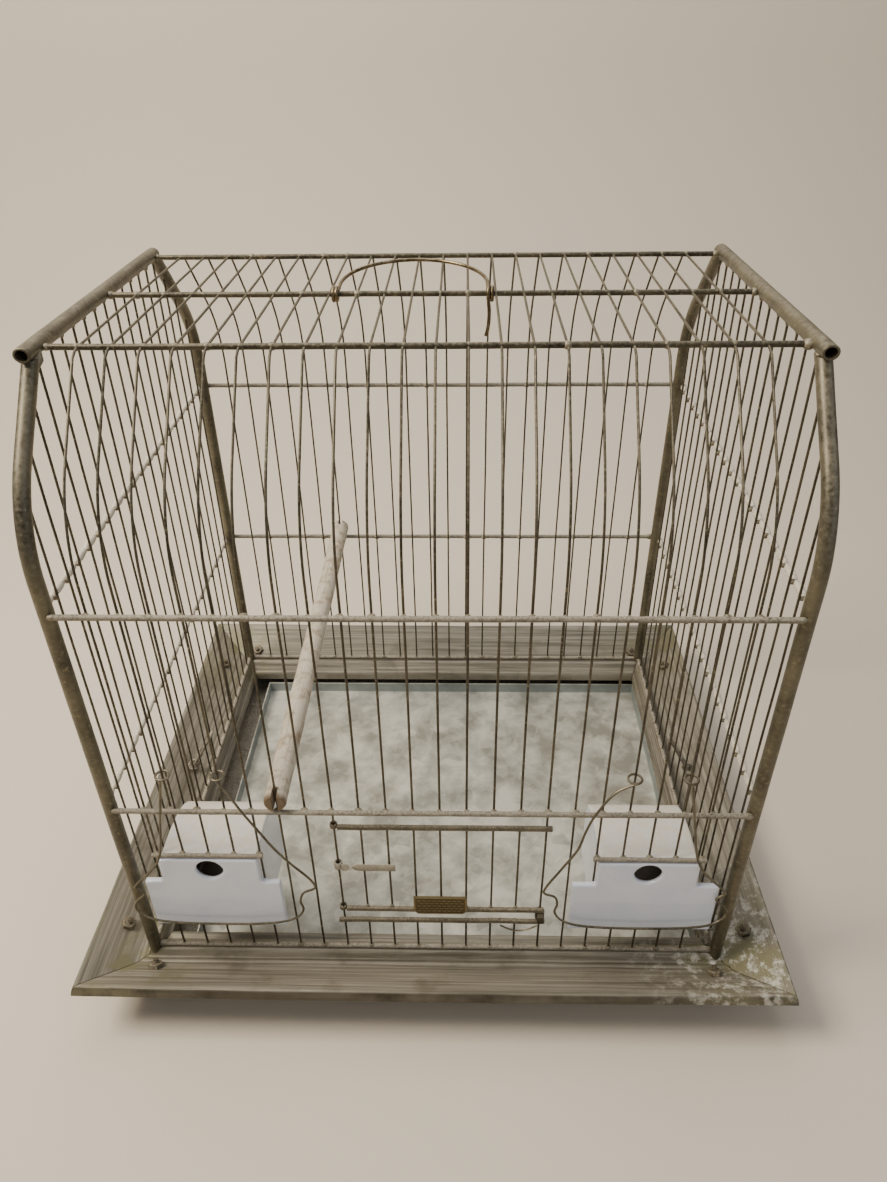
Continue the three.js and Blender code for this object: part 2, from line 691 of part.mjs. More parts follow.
function buildBails() {
  // One side of the loop as [distance from the feeder's middle towards the door, height over the posts' feet].
  const doorSide = [[14.5, 155], [18, 147], [25, 130], [32, 107], [45, 89], [57, 73], [57.5, 70], [51, 66.5]];
  const loop = [[49.5, 60], [50.5, 53], [47, 47], [38, 43.5], [0, 41], [-38, 44], [-46, 48], [-48, 54]];
  const outerSide = [[-45, 60], [-40, 66], [-44.5, 71], [-43, 74], [-27, 94], [-18.5, 130], [-15.5, 147], [-14.5, 155]];
  const outline = [...doorSide, ...loop, ...outerSide];
  feederBars.forEach((middle, index) => {
    const doorward = index === 0 ? 1 : -1;
    const points = outline.map(([across, height]) => {
      const nearEye = THREE.MathUtils.smoothstep(height, 140, 155);
      const bow = 2 * THREE.MathUtils.smoothstep(50 - height, 0, 8);
      const eyeFront = halfDepth + 3.6;
      const out = THREE.MathUtils.lerp(bailPlane + bow, eyeFront, nearEye);
      return new THREE.Vector3(barX(middle) + doorward * across, -out, footLevel + height);
    });
    const smooth = new THREE.CatmullRomCurve3(points, false, 'centripetal').getSpacedPoints(44);
    const pieces = [wireAlong(smooth.map((point) => point.toArray()), bailRadius, 5)];
    for (const eyeBar of [middle - 1, middle + 1]) {
      pieces.push(eyeRing(3.6, bailRadius, 12, 5).translate(barX(eyeBar), -halfDepth, bailLevel));
    }
    addPart(`feeder_bail_${index === 0 ? 'left' : 'right'}`, shaped(pieces), springWire);
  });
}

// ---- Handle: a wire arch hung on the roof's middle rod, lying back on the roof ----
function buildHandle() {
  const leftEye = -48.5;
  const rightEye = 30.5;
  const middle = (leftEye + rightEye) / 2;
  const halfSpan = (rightEye - leftEye) / 2;
  const legLength = 14;
  const archRise = 40;
  const restAngle = THREE.MathUtils.degToRad(5); // clear of the roof wires
  const handleWire = 0.9;
  const eyeRadius = 3.2;
  const points = [[leftEye, eyeRadius, 0]];
  const archSteps = 14;
  for (let step = 0; step <= archSteps; step += 1) {
    const angle = (Math.PI * step) / archSteps;
    points.push([middle - halfSpan * Math.cos(angle), legLength + archRise * Math.sin(angle), 0]);
  }
  points.push([rightEye, eyeRadius, 0]);
  const tail = wireAlong(
    [[rightEye, 0, -eyeRadius], [rightEye + 0.6, -0.6, -10], [rightEye, -1.5, -18], [rightEye - 1, -1, -22]],
    handleWire,
    5,
  );
  const pieces = [wireAlong(points, handleWire, 5).rotateX(restAngle), tail];
  for (const x of [leftEye, rightEye]) {
    pieces.push(eyeRing(eyeRadius, handleWire, 12, 5).rotateY(Math.PI / 2).translate(x, 0, 0));
  }
  addPart('handle', shaped(pieces), brightBrass).position.set(0, 0, roofLevel);
}

// ---- Perch: a dowel notched at both ends to straddle a front and a back wire ----
function buildPerch() {
  const perchRadius = 6.35;
  const halfLength = 147.5;
  const notchDepth = 7;
  const notchHalf = 1.5;
  const dowel = new THREE.CylinderGeometry(perchRadius, perchRadius, 2 * halfLength, 12);
  const notches = [-1, 1].map((end) => {
    const ys = [end * (halfLength - notchDepth), end * (halfLength + 5)].sort((a, b) => a - b);
    return boxBetween([-notchHalf, ys[0], -10], [notchHalf, ys[1], 10]);
  });
  const perch = addPart('perch', shaped([dowel], notches), rawWood);
  perch.position.set(barX(-6), 0, lowerRingLevel + rodRadius * 1.1 + perchRadius + gap);
}

buildPosts();
buildRoofTubes();
buildFrontWires();
buildBackWires();
buildEndWires('left_wires', -1);
buildEndWires('right_wires', 1);
buildRoofWires();
buildFrontSill();
buildRingRods();
buildLintels();
buildFlange();
buildSkirt();
buildTray();
buildCornerHardware();
buildSideClips();
buildDoor();
buildFeeders();
buildBails();
buildHandle();
buildPerch();

export default cage;
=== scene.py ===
import math
import bmesh
import bpy
from mathutils import Euler, Matrix, Vector, noise


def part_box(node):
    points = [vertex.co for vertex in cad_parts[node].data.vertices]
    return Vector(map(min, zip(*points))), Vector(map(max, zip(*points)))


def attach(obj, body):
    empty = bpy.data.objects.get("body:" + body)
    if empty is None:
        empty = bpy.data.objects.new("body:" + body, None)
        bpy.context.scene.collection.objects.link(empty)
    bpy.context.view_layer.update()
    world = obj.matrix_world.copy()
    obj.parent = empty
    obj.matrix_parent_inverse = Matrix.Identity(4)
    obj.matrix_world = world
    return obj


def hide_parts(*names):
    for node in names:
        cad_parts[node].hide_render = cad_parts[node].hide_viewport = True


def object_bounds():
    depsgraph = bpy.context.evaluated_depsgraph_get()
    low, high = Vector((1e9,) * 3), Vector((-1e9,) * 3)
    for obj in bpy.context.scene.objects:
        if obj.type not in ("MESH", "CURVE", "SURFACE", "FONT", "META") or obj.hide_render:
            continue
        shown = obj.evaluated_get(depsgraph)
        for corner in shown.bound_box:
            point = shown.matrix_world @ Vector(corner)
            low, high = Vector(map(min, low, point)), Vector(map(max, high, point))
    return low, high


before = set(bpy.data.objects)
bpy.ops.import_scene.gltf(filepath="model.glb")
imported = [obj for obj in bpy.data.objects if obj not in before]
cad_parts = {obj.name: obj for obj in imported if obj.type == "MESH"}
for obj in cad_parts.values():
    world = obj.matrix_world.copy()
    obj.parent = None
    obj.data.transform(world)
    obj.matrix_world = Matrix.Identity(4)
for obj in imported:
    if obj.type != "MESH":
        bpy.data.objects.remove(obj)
cadBox = [list(corner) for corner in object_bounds()]
scene = bpy.context.scene
print("frame:", len(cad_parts), "CAD nodes")


def at(x, y, z):
    return Vector((x, y, z)) / 1000  # sizes here are in millimetres, Blender's are in metres


# Camera
cameraSetup = {"place": (17.9, -457.0, 509.9), "yaw": -1.6, "down": 34.07, "roll": -0.75, "lens": 26.11}

camera = bpy.data.objects.new("camera", bpy.data.cameras.new("camera"))
scene.collection.objects.link(camera)
camera.data.sensor_fit = "VERTICAL"
camera.data.sensor_height = 36
camera.data.lens = cameraSetup["lens"]
camera.data.clip_start = 0.01
camera.matrix_world = (
    Matrix.Translation(at(*cameraSetup["place"]))
    @ Matrix.Rotation(math.radians(-cameraSetup["yaw"]), 4, "Z")
    @ Matrix.Rotation(math.radians(90 - cameraSetup["down"]), 4, "X")
    @ Matrix.Rotation(math.radians(cameraSetup["roll"]), 4, "Z")
)
scene.camera = camera


# Node and mesh helpers
def linearColour(hexText):
    channels = [int(hexText[i:i + 2], 16) / 255 for i in (1, 3, 5)]
    return (*[c / 12.92 if c <= 0.04045 else ((c + 0.055) / 1.055) ** 2.4 for c in channels], 1.0)


def addNode(tree, kind, inputs=None, **settings):
    node = tree.nodes.new(kind)
    for key, value in settings.items():
        setattr(node, key, value)
    for key, value in (inputs or {}).items():
        if isinstance(value, bpy.types.NodeSocket):
            tree.links.new(value, node.inputs[key])
        else:
            node.inputs[key].default_value = value
    return node


def addEach(tree, kind, shared, keys, rows, **settings):
    # one node for every row of a small table, and its first output by the row's name
    return {
        name: addNode(tree, kind, {**shared, **dict(zip(keys, row))}, **settings).outputs[0]
        for name, row in rows.items()
    }


def perMetre(size):
    return 1000 / size  # how often a pattern of this size in millimetres repeats in a metre


def meshObject(name, mesh):
    piece = bpy.data.objects.new(name, mesh)
    scene.collection.objects.link(piece)
    return piece


def fromBmesh(name, shape):
    mesh = bpy.data.meshes.new(name)
    shape.to_mesh(mesh)
    shape.free()
    return meshObject(name, mesh)


def applied(piece):
    # the piece with its modifiers made part of its mesh
    evaluated = piece.evaluated_get(bpy.context.evaluated_depsgraph_get())
    mesh = bpy.data.meshes.new_from_object(evaluated)
    piece.modifiers.clear()
    old = piece.data
    piece.data = mesh
    bpy.data.meshes.remove(old)
    return piece


def joined(name, pieces):
    shape = bmesh.new()
    for piece in pieces:
        shape.from_mesh(piece.data)
        bpy.data.objects.remove(piece)
    return fromBmesh(name, shape)


def dress(piece, material, body, slotName, *nodes, smoothBelow=40):
    # keeps the piece inside the CAD box, gives it its material if it has none, shades it, hangs it on its
    # body and hides the CAD nodes it stands for
    low, high = cadBox
    for vertex in piece.data.vertices:
        for axis in range(3):
            vertex.co[axis] = min(max(vertex.co[axis], low[axis]), high[axis])
    if not piece.data.materials:
        piece.data.materials.append(material)
    piece.data.shade_smooth()
    piece.data.set_sharp_from_angle(angle=math.radians(smoothBelow))
    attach(piece, body)
    if nodes:
        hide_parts(*nodes)
    return piece


def loftRings(shape, rings, closed=False, sheetMap=None):
    # a skin over rings of points in order; closed runs the last ring on to the first
    rows = [[shape.verts.new(point) for point in ring] for ring in rings]
    uvLayer = shape.loops.layers.uv.verify() if sheetMap else None
    turns = len(rows) if closed else len(rows) - 1
    for row in range(turns):
        here, there = rows[row], rows[(row + 1) % len(rows)]
        for column in range(len(here)):
            after = (column + 1) % len(here)
            face = shape.faces.new((here[column], here[after], there[after], there[column]))
            if sheetMap:
                corners = ((row, column), (row, column + 1), (row + 1, column + 1), (row + 1, column))
                for loop, corner in zip(face.loops, corners):
                    loop[uvLayer].uv = sheetMap(*corner)
    if not closed:
        shape.faces.new(list(reversed(rows[0])))
        shape.faces.new(rows[-1])


def lofted(name, *skins):
    # one object from several skins, each (rings, closed), its faces turned outwards
    shape = bmesh.new()
    for rings, closed in skins:
        loftRings(shape, rings, closed)
    bmesh.ops.recalc_face_normals(shape, faces=shape.faces)
    return fromBmesh(name, shape)


def circlePoints(centre, radius, sides, acrossOne, acrossTwo):
    angles = [2 * math.pi * side / sides for side in range(sides)]
    return [centre + radius * (math.cos(a) * acrossOne + math.sin(a) * acrossTwo) for a in angles]


def roundedCorners(points, passes=2):
    # cuts every corner of an open line twice over, which leaves a soft bend
    for _ in range(passes):
        cut = [points[0]]
        for start, end in zip(points, points[1:]):
            cut.append(start.lerp(end, 0.25))
            cut.append(start.lerp(end, 0.75))
        points = cut + [points[-1]]
    return points


def curveThrough(points, steps):
    # centripetal Catmull-Rom curve through the points
    ends = [2 * points[0] - points[1], *points, 2 * points[-1] - points[-2]]
    line = []
    for p0, p1, p2, p3 in zip(ends, ends[1:], ends[2:], ends[3:]):
        t1 = (p1 - p0).length ** 0.5
        t2 = t1 + (p2 - p1).length ** 0.5
        t3 = t2 + (p3 - p2).length ** 0.5
        for step in range(steps):
            t = t1 + (t2 - t1) * step / steps
            a1 = p0.lerp(p1, t / t1)
            a2 = p1.lerp(p2, (t - t1) / (t2 - t1))
            a3 = p2.lerp(p3, (t - t2) / (t3 - t2))
            b1 = a1.lerp(a2, t / t2)
            b2 = a2.lerp(a3, (t - t1) / (t3 - t1))
            line.append(b1.lerp(b2, (t - t1) / (t2 - t1)))
    return [*line, points[-1]]


def boxShape(shape, low, high):
    made = bmesh.ops.create_cube(shape, size=1)["verts"]
    low, high = at(*low), at(*high)
    size = high - low
    for vertex in made:
        vertex.co = Vector((v * s for v, s in zip(vertex.co, size))) + (low + high) / 2


def softenedCopy(name, node, width):
    # a copy of a CAD node with its triangles merged and its edges rounded over, as folded sheet is
    shape = bmesh.new()
    shape.from_mesh(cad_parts[node].data)
    bmesh.ops.remove_doubles(shape, verts=shape.verts, dist=1e-6)
    bmesh.ops.dissolve_limit(shape, angle_limit=math.radians(1), verts=shape.verts, edges=shape.edges)
    edges = [e for e in shape.edges if len(e.link_faces) == 2 and e.calc_face_angle() > math.radians(25)]
    bmesh.ops.bevel(
        shape, geom=edges, offset=width / 1000, segments=2, profile=0.6, affect="EDGES", clamp_overlap=True,
    )
    copy = fromBmesh(name, shape)
    copy.data.materials.clear()
    return copy


# Geometry Nodes trees
def openTree(name, inputs):
    tree = bpy.data.node_groups.new(name, "GeometryNodeTree")
    tree.interface.new_socket("Geometry", in_out="INPUT", socket_type="NodeSocketGeometry")
    for label, kind in inputs.items():
        tree.interface.new_socket(label, in_out="INPUT", socket_type="NodeSocket" + kind)
    tree.interface.new_socket("Geometry", in_out="OUTPUT", socket_type="NodeSocketGeometry")
    return tree, addNode(tree, "NodeGroupInput").outputs


def closeTree(tree, geometry, material):
    # every tree ends the same way: real geometry, with its material on it
    real = addNode(tree, "GeometryNodeRealizeInstances", {"Geometry": geometry})
    painted = addNode(tree, "GeometryNodeSetMaterial", {"Geometry": real.outputs[0], "Material": material})
    addNode(tree, "NodeGroupOutput", {"Geometry": painted.outputs[0]})
    return tree


def grown(name, tree, seedMesh, values):
    # runs a tree on a mesh of paths or points, and returns the plain mesh it makes
    piece = meshObject(name, seedMesh)
    modifier = piece.modifiers.new("grow", "NODES")
    modifier.node_group = tree
    for item in tree.interface.items_tree:
        if item.item_type == "SOCKET" and item.in_out == "INPUT" and item.name in values:
            modifier[item.identifier] = values[item.name]
    return applied(piece)


def makeWireTree():
    # drawn wire along paths: a little out of straight, a little uneven,
    # and thicker between crossings where a crust is asked for
    tree, given = openTree("wireOnPaths", {
        "Radius": "Float", "Step": "Float", "Sides": "Int", "Kink": "Float", "Unevenness": "Float",
        "Crust": "Float", "Crust pitch": "Float", "Crust middle": "Float", "Seed": "Int",
        "Material": "Material",
    })
    curve = addNode(tree, "GeometryNodeMeshToCurve", {"Mesh": given["Geometry"]})
    even = addNode(
        tree, "GeometryNodeResampleCurve", {
            "Curve": curve.outputs[0], "Length": given["Step"],
        }, mode="LENGTH",
    )
    which = addNode(tree, "GeometryNodeCurveOfPoint")
    apart = addNode(
        tree, "ShaderNodeMath", {
            0: which.outputs["Curve Index"], 1: 7.31, 2: given["Seed"],
        }, operation="MULTIPLY_ADD",
    )
    wander = addNode(
        tree, "ShaderNodeTexNoise", {
            "W": apart.outputs[0], "Scale": perMetre(70), "Detail": 1.0,
        }, noise_dimensions="4D",
    )
    centred = addNode(
        tree, "ShaderNodeVectorMath", {0: wander.outputs["Color"], 1: (0.5, 0.5, 0.5)}, operation="SUBTRACT",
    )
    offset = addNode(
        tree, "ShaderNodeVectorMath", {0: centred.outputs[0], "Scale": given["Kink"]}, operation="SCALE",
    )
    bent = addNode(
        tree, "GeometryNodeSetPosition", {"Geometry": even.outputs[0], "Offset": offset.outputs[0]},
    )
    along = addNode(tree, "GeometryNodeSplineParameter")
    fromMiddle = addNode(
        tree, "ShaderNodeMath", {0: along.outputs["Length"], 1: given["Crust middle"]}, operation="SUBTRACT",
    )
    pitches = addNode(
        tree, "ShaderNodeMath", {0: fromMiddle.outputs[0], 1: given["Crust pitch"]}, operation="DIVIDE",
    )
    turns = addNode(tree, "ShaderNodeMath", {0: pitches.outputs[0], 1: math.pi}, operation="MULTIPLY")
    wave = addNode(tree, "ShaderNodeMath", {0: turns.outputs[0]}, operation="SINE")
    between = addNode(tree, "ShaderNodeMath", {0: wave.outputs[0]}, operation="ABSOLUTE")
    crust = addNode(
        tree, "ShaderNodeMath", {0: between.outputs[0], 1: given["Crust"], 2: 1.0}, operation="MULTIPLY_ADD",
    )
    lumps = addNode(tree, "ShaderNodeTexNoise", {"Scale": perMetre(4), "Detail": 2.0})
    lumpsCentred = addNode(tree, "ShaderNodeMath", {0: lumps.outputs["Fac"], 1: 0.5}, operation="SUBTRACT")
    uneven = addNode(
        tree, "ShaderNodeMath", {0: lumpsCentred.outputs[0], 1: given["Unevenness"], 2: crust.outputs[0]},
        operation="MULTIPLY_ADD",
    )
    thick = addNode(tree, "ShaderNodeMath", {0: uneven.outputs[0], 1: given["Radius"]}, operation="MULTIPLY")
    section = addNode(
        tree, "GeometryNodeCurvePrimitiveCircle", {
            "Resolution": given["Sides"], "Radius": 1.0,
        }, mode="RADIUS",
    )
    tube = addNode(tree, "GeometryNodeCurveToMesh", {
        "Curve": bent.outputs[0], "Profile Curve": section.outputs[0], "Scale": thick.outputs[0],
        "Fill Caps": True,
    })
    return closeTree(tree, tube.outputs[0], given["Material"])


def makeBeadTree():
    # solder beads on points, each a little different in size
    tree, given = openTree("solderBeads", {"Seed": "Int", "Spread": "Float", "Material": "Material"})
    bead = addNode(tree, "GeometryNodeMeshUVSphere", {"Segments": 8, "Rings": 6, "Radius": 1.0})
    size = addNode(tree, "GeometryNodeInputNamedAttribute", {"Name": "size"}, data_type="FLOAT_VECTOR")
    turn = addNode(tree, "GeometryNodeInputNamedAttribute", {"Name": "turn"}, data_type="FLOAT_VECTOR")
    most = addNode(tree, "ShaderNodeMath", {0: 1.0, 1: given["Spread"]}, operation="ADD")
    least = addNode(tree, "ShaderNodeMath", {0: 1.0, 1: given["Spread"]}, operation="SUBTRACT")
    chance = addNode(
        tree, "FunctionNodeRandomValue", {2: least.outputs[0], 3: most.outputs[0], "Seed": given["Seed"]},
        data_type="FLOAT",
    )
    scale = addNode(
        tree, "ShaderNodeVectorMath", {0: size.outputs[0], "Scale": chance.outputs[1]}, operation="SCALE",
    )
    placed = addNode(tree, "GeometryNodeInstanceOnPoints", {
        "Points": given["Geometry"], "Instance": bead.outputs[0], "Rotation": turn.outputs[0],
        "Scale": scale.outputs[0],
    })
    return closeTree(tree, placed.outputs[0], given["Material"])


def makeNutTree():
    # a chamfered hexagon nut with a threaded stud end standing up through it
    tree, given = openTree("nutOnStud", {
        "Nut radius": "Float", "Nut height": "Float", "Stud radius": "Float", "Stud height": "Float",
        "Thread pitch": "Float", "Material": "Material",
    })
    flats = addNode(tree, "ShaderNodeMath", {0: given["Nut radius"], 1: 0.9}, operation="MULTIPLY")
    body = addNode(tree, "GeometryNodeMeshCone", {
        "Vertices": 6, "Radius Top": given["Nut radius"], "Radius Bottom": given["Nut radius"],
        "Depth": given["Nut height"],
    })
    top = addNode(tree, "GeometryNodeMeshCone", {
        "Vertices": 12, "Radius Top": flats.outputs[0], "Radius Bottom": given["Nut radius"], "Depth": 0.0005,
    })
    topPlace = addNode(tree, "ShaderNodeCombineXYZ", {"Z": given["Nut height"]})
    cap = addNode(tree, "GeometryNodeTransform", {
        "Geometry": top.outputs[0], "Translation": topPlace.outputs[0], "Scale": (0.94, 0.94, 1.0),
    })
    coreDepth = addNode(tree, "ShaderNodeMath", {0: given["Stud height"], 1: 0.0003}, operation="SUBTRACT")
    core = addNode(tree, "GeometryNodeMeshCone", {
        "Vertices": 12, "Radius Top": given["Stud radius"], "Radius Bottom": given["Stud radius"],
        "Depth": coreDepth.outputs[0],
    })
    thinCore = addNode(
        tree, "GeometryNodeTransform", {"Geometry": core.outputs[0], "Scale": (0.86, 0.86, 1.0)},
    )
    threadTop = addNode(tree, "GeometryNodeMeshCone", {
        "Vertices": 12, "Radius Top": 0.0012, "Radius Bottom": given["Stud radius"], "Depth": 0.0003,
    })
    threadFoot = addNode(tree, "GeometryNodeMeshCone", {
        "Vertices": 12, "Radius Top": given["Stud radius"], "Radius Bottom": 0.0012, "Depth": 0.0003,
    })
    lifted = addNode(tree, "GeometryNodeTransform", {
        "Geometry": threadTop.outputs[0], "Translation": (0, 0, 0.0003),
    })
    thread = addNode(tree, "GeometryNodeJoinGeometry", {"Geometry": lifted.outputs[0]})
    tree.links.new(threadFoot.outputs[0], thread.inputs[0])
    count = addNode(
        tree, "ShaderNodeMath", {0: given["Stud height"], 1: given["Thread pitch"]}, operation="DIVIDE",
    )
    rise = addNode(tree, "ShaderNodeCombineXYZ", {"Z": given["Thread pitch"]})
    line = addNode(tree, "GeometryNodeMeshLine", {"Count": count.outputs[0], "Offset": rise.outputs[0]})
    threads = addNode(tree, "GeometryNodeInstanceOnPoints", {
        "Points": line.outputs[0], "Instance": thread.outputs[0],
    })
    nut = addNode(tree, "GeometryNodeJoinGeometry", {"Geometry": body.outputs[0]})
    for part in (cap, thinCore, threads):
        tree.links.new(part.outputs[0], nut.inputs[0])
    turn = addNode(tree, "GeometryNodeInputNamedAttribute", {"Name": "turn"}, data_type="FLOAT_VECTOR")
    placed = addNode(tree, "GeometryNodeInstanceOnPoints", {
        "Points": given["Geometry"], "Instance": nut.outputs[0], "Rotation": turn.outputs[0],
    })
    return closeTree(tree, placed.outputs[0], given["Material"])


wireTree = makeWireTree()
beadTree = makeBeadTree()
nutTree = makeNutTree()


def pathMesh(name, paths):
    # paths: lists of points in millimetres; a path that ends where it starts is a closed ring
    mesh = bpy.data.meshes.new(name)
    points, edges = [], []
    for path in paths:
        closed = (Vector(path[0]) - Vector(path[-1])).length < 1e-6
        path = path[:-1] if closed else path
        first = len(points)
        points += [Vector(p) / 1000 for p in path]
        edges += [(first + i, first + i + 1) for i in range(len(path) - 1)]
        if closed:
            edges.append((first + len(path) - 1, first))
    mesh.from_pydata(points, edges, [])
    return mesh


def wires(name, paths, radius, material, sides=8, step=4.0, kink=0.5, unevenness=0.12, crust=None, seed=1):
    pitch, middle, amount = crust or (1.0, 0.0, 0.0)
    return grown(name, wireTree, pathMesh(name, paths), {
        "Radius": radius / 1000, "Step": step / 1000, "Sides": sides, "Kink": kink / 1000,
        "Unevenness": unevenness, "Crust": amount, "Crust pitch": pitch / 1000,
        "Crust middle": middle / 1000, "Seed": seed, "Material": material,
    })


def strung(name, paths, radius, material, body, slotName, *nodes, **bend):
    return dress(wires(name, paths, radius, material, **bend), material, body, slotName, *nodes)


def spotMesh(name, spots):
    # spots: (place, turn, size) in millimetres and radians, kept as attributes that the trees read
    mesh = bpy.data.meshes.new(name)
    mesh.from_pydata([Vector(place) / 1000 for place, _, _ in spots], [], [])
    for label, values in (
        ("turn", [t for _, t, _ in spots]), ("size", [Vector(s) / 1000 for _, _, s in spots]),
    ):
        attribute = mesh.attributes.new(label, "FLOAT_VECTOR", "POINT")
        attribute.data.foreach_set("vector", [c for value in values for c in value])
    return mesh


# Materials
noiseKeys = ("Scale", "Detail", "Roughness", "Distortion")
rangeKeys = ("Value", "From Min", "From Max", "To Min", "To Max")


def newMaterial(name):
    # a new material, its tree, the place on the piece and how far the surface faces up
    material = bpy.data.materials.new(name)
    material.use_nodes = True
    tree = material.node_tree
    tree.nodes.clear()
    place = addNode(tree, "ShaderNodeTexCoord").outputs["Object"]
    normal = addNode(tree, "ShaderNodeNewGeometry").outputs["Normal"]
    return material, tree, place, addNode(tree, "ShaderNodeSeparateXYZ", {0: normal}).outputs["Z"]


def layered(tree, base, *layers):
    # colours laid over one another, each where its mask is 1
    colour = linearColour(base)
    for mask, above in layers:
        mix = addNode(tree, "ShaderNodeMix", {0: mask, 6: colour, 7: linearColour(above)}, data_type="RGBA")
        colour = mix.outputs[2]
    return colour


def shaded(material, tree, bump, inputs):
    # the shader, with its relief as (height, strength, distance in millimetres)
    height, strength, distance = bump
    relief = addNode(tree, "ShaderNodeBump", {
        "Height": height, "Strength": strength, "Distance": distance / 1000,
    })
    shader = addNode(tree, "ShaderNodeBsdfPrincipled", {**inputs, "Normal": relief.outputs[0]})
    addNode(tree, "ShaderNodeOutputMaterial", {"Surface": shader.outputs[0]})
    return material


def oldMetal(name, look):
    # bare metal gone dull: cloudy tarnish, dust lying on what faces up, rubbed glints and fine pits
    material, tree, place, facing = newMaterial(name)
    noises = addEach(tree, "ShaderNodeTexNoise", {"Vector": place}, noiseKeys, {
        "clouds": (perMetre(look["cloudSize"]), 5.0, 0.6), "grit": (perMetre(look["gritSize"]), 4.0, 0.65),
    })
    masks = addEach(tree, "ShaderNodeMapRange", {}, rangeKeys, {
        "cloud": (noises["clouds"], 0.35, 0.65), "rubbed": (noises["grit"], 0.60, 0.70, 0.0, look["rubbed"]),
        "upward": (facing, -0.1, 0.9, look["dustBelow"], look["dustAbove"]),
        "patches": (noises["grit"], 0.36, 0.58),
    })
    dust = addNode(
        tree, "ShaderNodeMath", {
            0: masks["upward"], 1: masks["patches"],
        }, operation="MULTIPLY", use_clamp=True,
    ).outputs[0]
    finish = addEach(tree, "ShaderNodeMapRange", {}, rangeKeys, {
        "metal": (dust, 0.0, 1.0, look["metallic"], 0.1),
        "smooth": (masks["rubbed"], 0.0, 1.0, look["roughness"], look["roughness"] * 0.6),
    })
    rough = addNode(
        tree, "ShaderNodeMath", {
            0: dust, 1: 0.35, 2: finish["smooth"],
        }, operation="MULTIPLY_ADD", use_clamp=True,
    )
    colour = layered(
        tree, look["dark"], (masks["cloud"], look["light"]), (
            masks["rubbed"], look["glint"],
        ), (dust, look["dust"]),
    )
    return shaded(material, tree, (noises["grit"], look["relief"], 0.3), {
        "Base Color": colour, "Metallic": finish["metal"], "Roughness": rough.outputs[0],
    })


# drawn brass wire, browned with age: olive brown, with yellow metal only where it is rubbed
agedBrassWire = oldMetal("agedBrassWire", {
    "dark": "#332f24", "light": "#5a5342", "glint": "#a59a72", "rubbed": 0.7, "dust": "#867f6e",
    "dustAbove": 0.5, "dustBelow": 0.06, "cloudSize": 22, "gritSize": 1.6, "metallic": 0.7,
    "roughness": 0.42, "relief": 0.35,
})
# tinned steel rod under a coat of dried dust: pale grey beige, almost no shine
dustyRod = oldMetal("dustyTinnedRod", {
    "dark": "#625c4e", "light": "#8d8676", "glint": "#bfb591", "rubbed": 0.6, "dust": "#aaa293",
    "dustAbove": 0.95, "dustBelow": 0.35, "cloudSize": 12, "gritSize": 1.2, "metallic": 0.45,
    "roughness": 0.55, "relief": 0.5,
})
# end-wall rods under lumpy dust: chalky cream, pale enough to be a painted highlight for the bright segments
# between crossings, with no shine at all
dustAndHighlightRod = oldMetal("dustAndPaintedHighlightRod", {
    "dark": "#948b78", "light": "#d3cab8", "glint": "#e9e3d5", "rubbed": 0.9, "dust": "#e0d9cb",
    "dustAbove": 1.0, "dustBelow": 0.7, "cloudSize": 7, "gritSize": 1.0, "metallic": 0.0,
    "roughness": 0.8, "relief": 0.9,
})
# soft lead-tin solder: grey, a little shinier than the dust round it
solderMetal = oldMetal("greySolder", {
    "dark": "#57503f", "light": "#8f8773", "glint": "#c9c1a6", "rubbed": 0.7, "dust": "#aaa28f",
    "dustAbove": 0.7, "dustBelow": 0.15, "cloudSize": 5, "gritSize": 0.9, "metallic": 0.6,
    "roughness": 0.45, "relief": 0.5,
})
# folded brass tube of the posts and roof edges: greener, with long dull highlights and worn yellow patches
postBrass = oldMetal("wornBrassTube", {
    "dark": "#464134", "light": "#6f6955", "glint": "#a3986e", "rubbed": 0.55, "dust": "#908978",
    "dustAbove": 0.55, "dustBelow": 0.1, "cloudSize": 30, "gritSize": 2.4, "metallic": 0.65,
    "roughness": 0.40, "relief": 0.25,
})
# tinned rails of the door, tarnished darker than the rods by handling
grimyRail = oldMetal("grimyTinnedRail", {
    "dark": "#4b4434", "light": "#79705b", "glint": "#b9ad86", "rubbed": 0.6, "dust": "#9b927e",
    "dustAbove": 0.7, "dustBelow": 0.15, "cloudSize": 9, "gritSize": 1.1, "metallic": 0.55,
    "roughness": 0.5, "relief": 0.5,
})
# hard-drawn spring wire: smooth grey brown with a thin bright line
springWire = oldMetal("springWire", {
    "dark": "#4b4639", "light": "#736c5a", "glint": "#c4bb9b", "rubbed": 0.5, "dust": "#8f8877",
    "dustAbove": 0.4, "dustBelow": 0.05, "cloudSize": 15, "gritSize": 1.2, "metallic": 0.85,
    "roughness": 0.34, "relief": 0.2,
})
# brass handle, rubbed bright by hands: yellow metal with brown left in the hollows
handleBrass = oldMetal("handRubbedBrass", {
    "dark": "#4a3d27", "light": "#85765a", "glint": "#ece4cc", "rubbed": 0.9, "dust": "#a79d88",
    "dustAbove": 0.25, "dustBelow": 0.0, "cloudSize": 7, "gritSize": 1.4, "metallic": 0.95,
    "roughness": 0.30, "relief": 0.2,
})
# thin tinplate: pale dull grey, creased
tinStrip = oldMetal("dullTinplate", {
    "dark": "#89847a", "light": "#b3ae9f", "glint": "#dcd7c8", "rubbed": 0.6, "dust": "#bbb4a4",
    "dustAbove": 0.6, "dustBelow": 0.2, "cloudSize": 8, "gritSize": 1.0, "metallic": 0.6,
    "roughness": 0.45, "relief": 0.35,
})
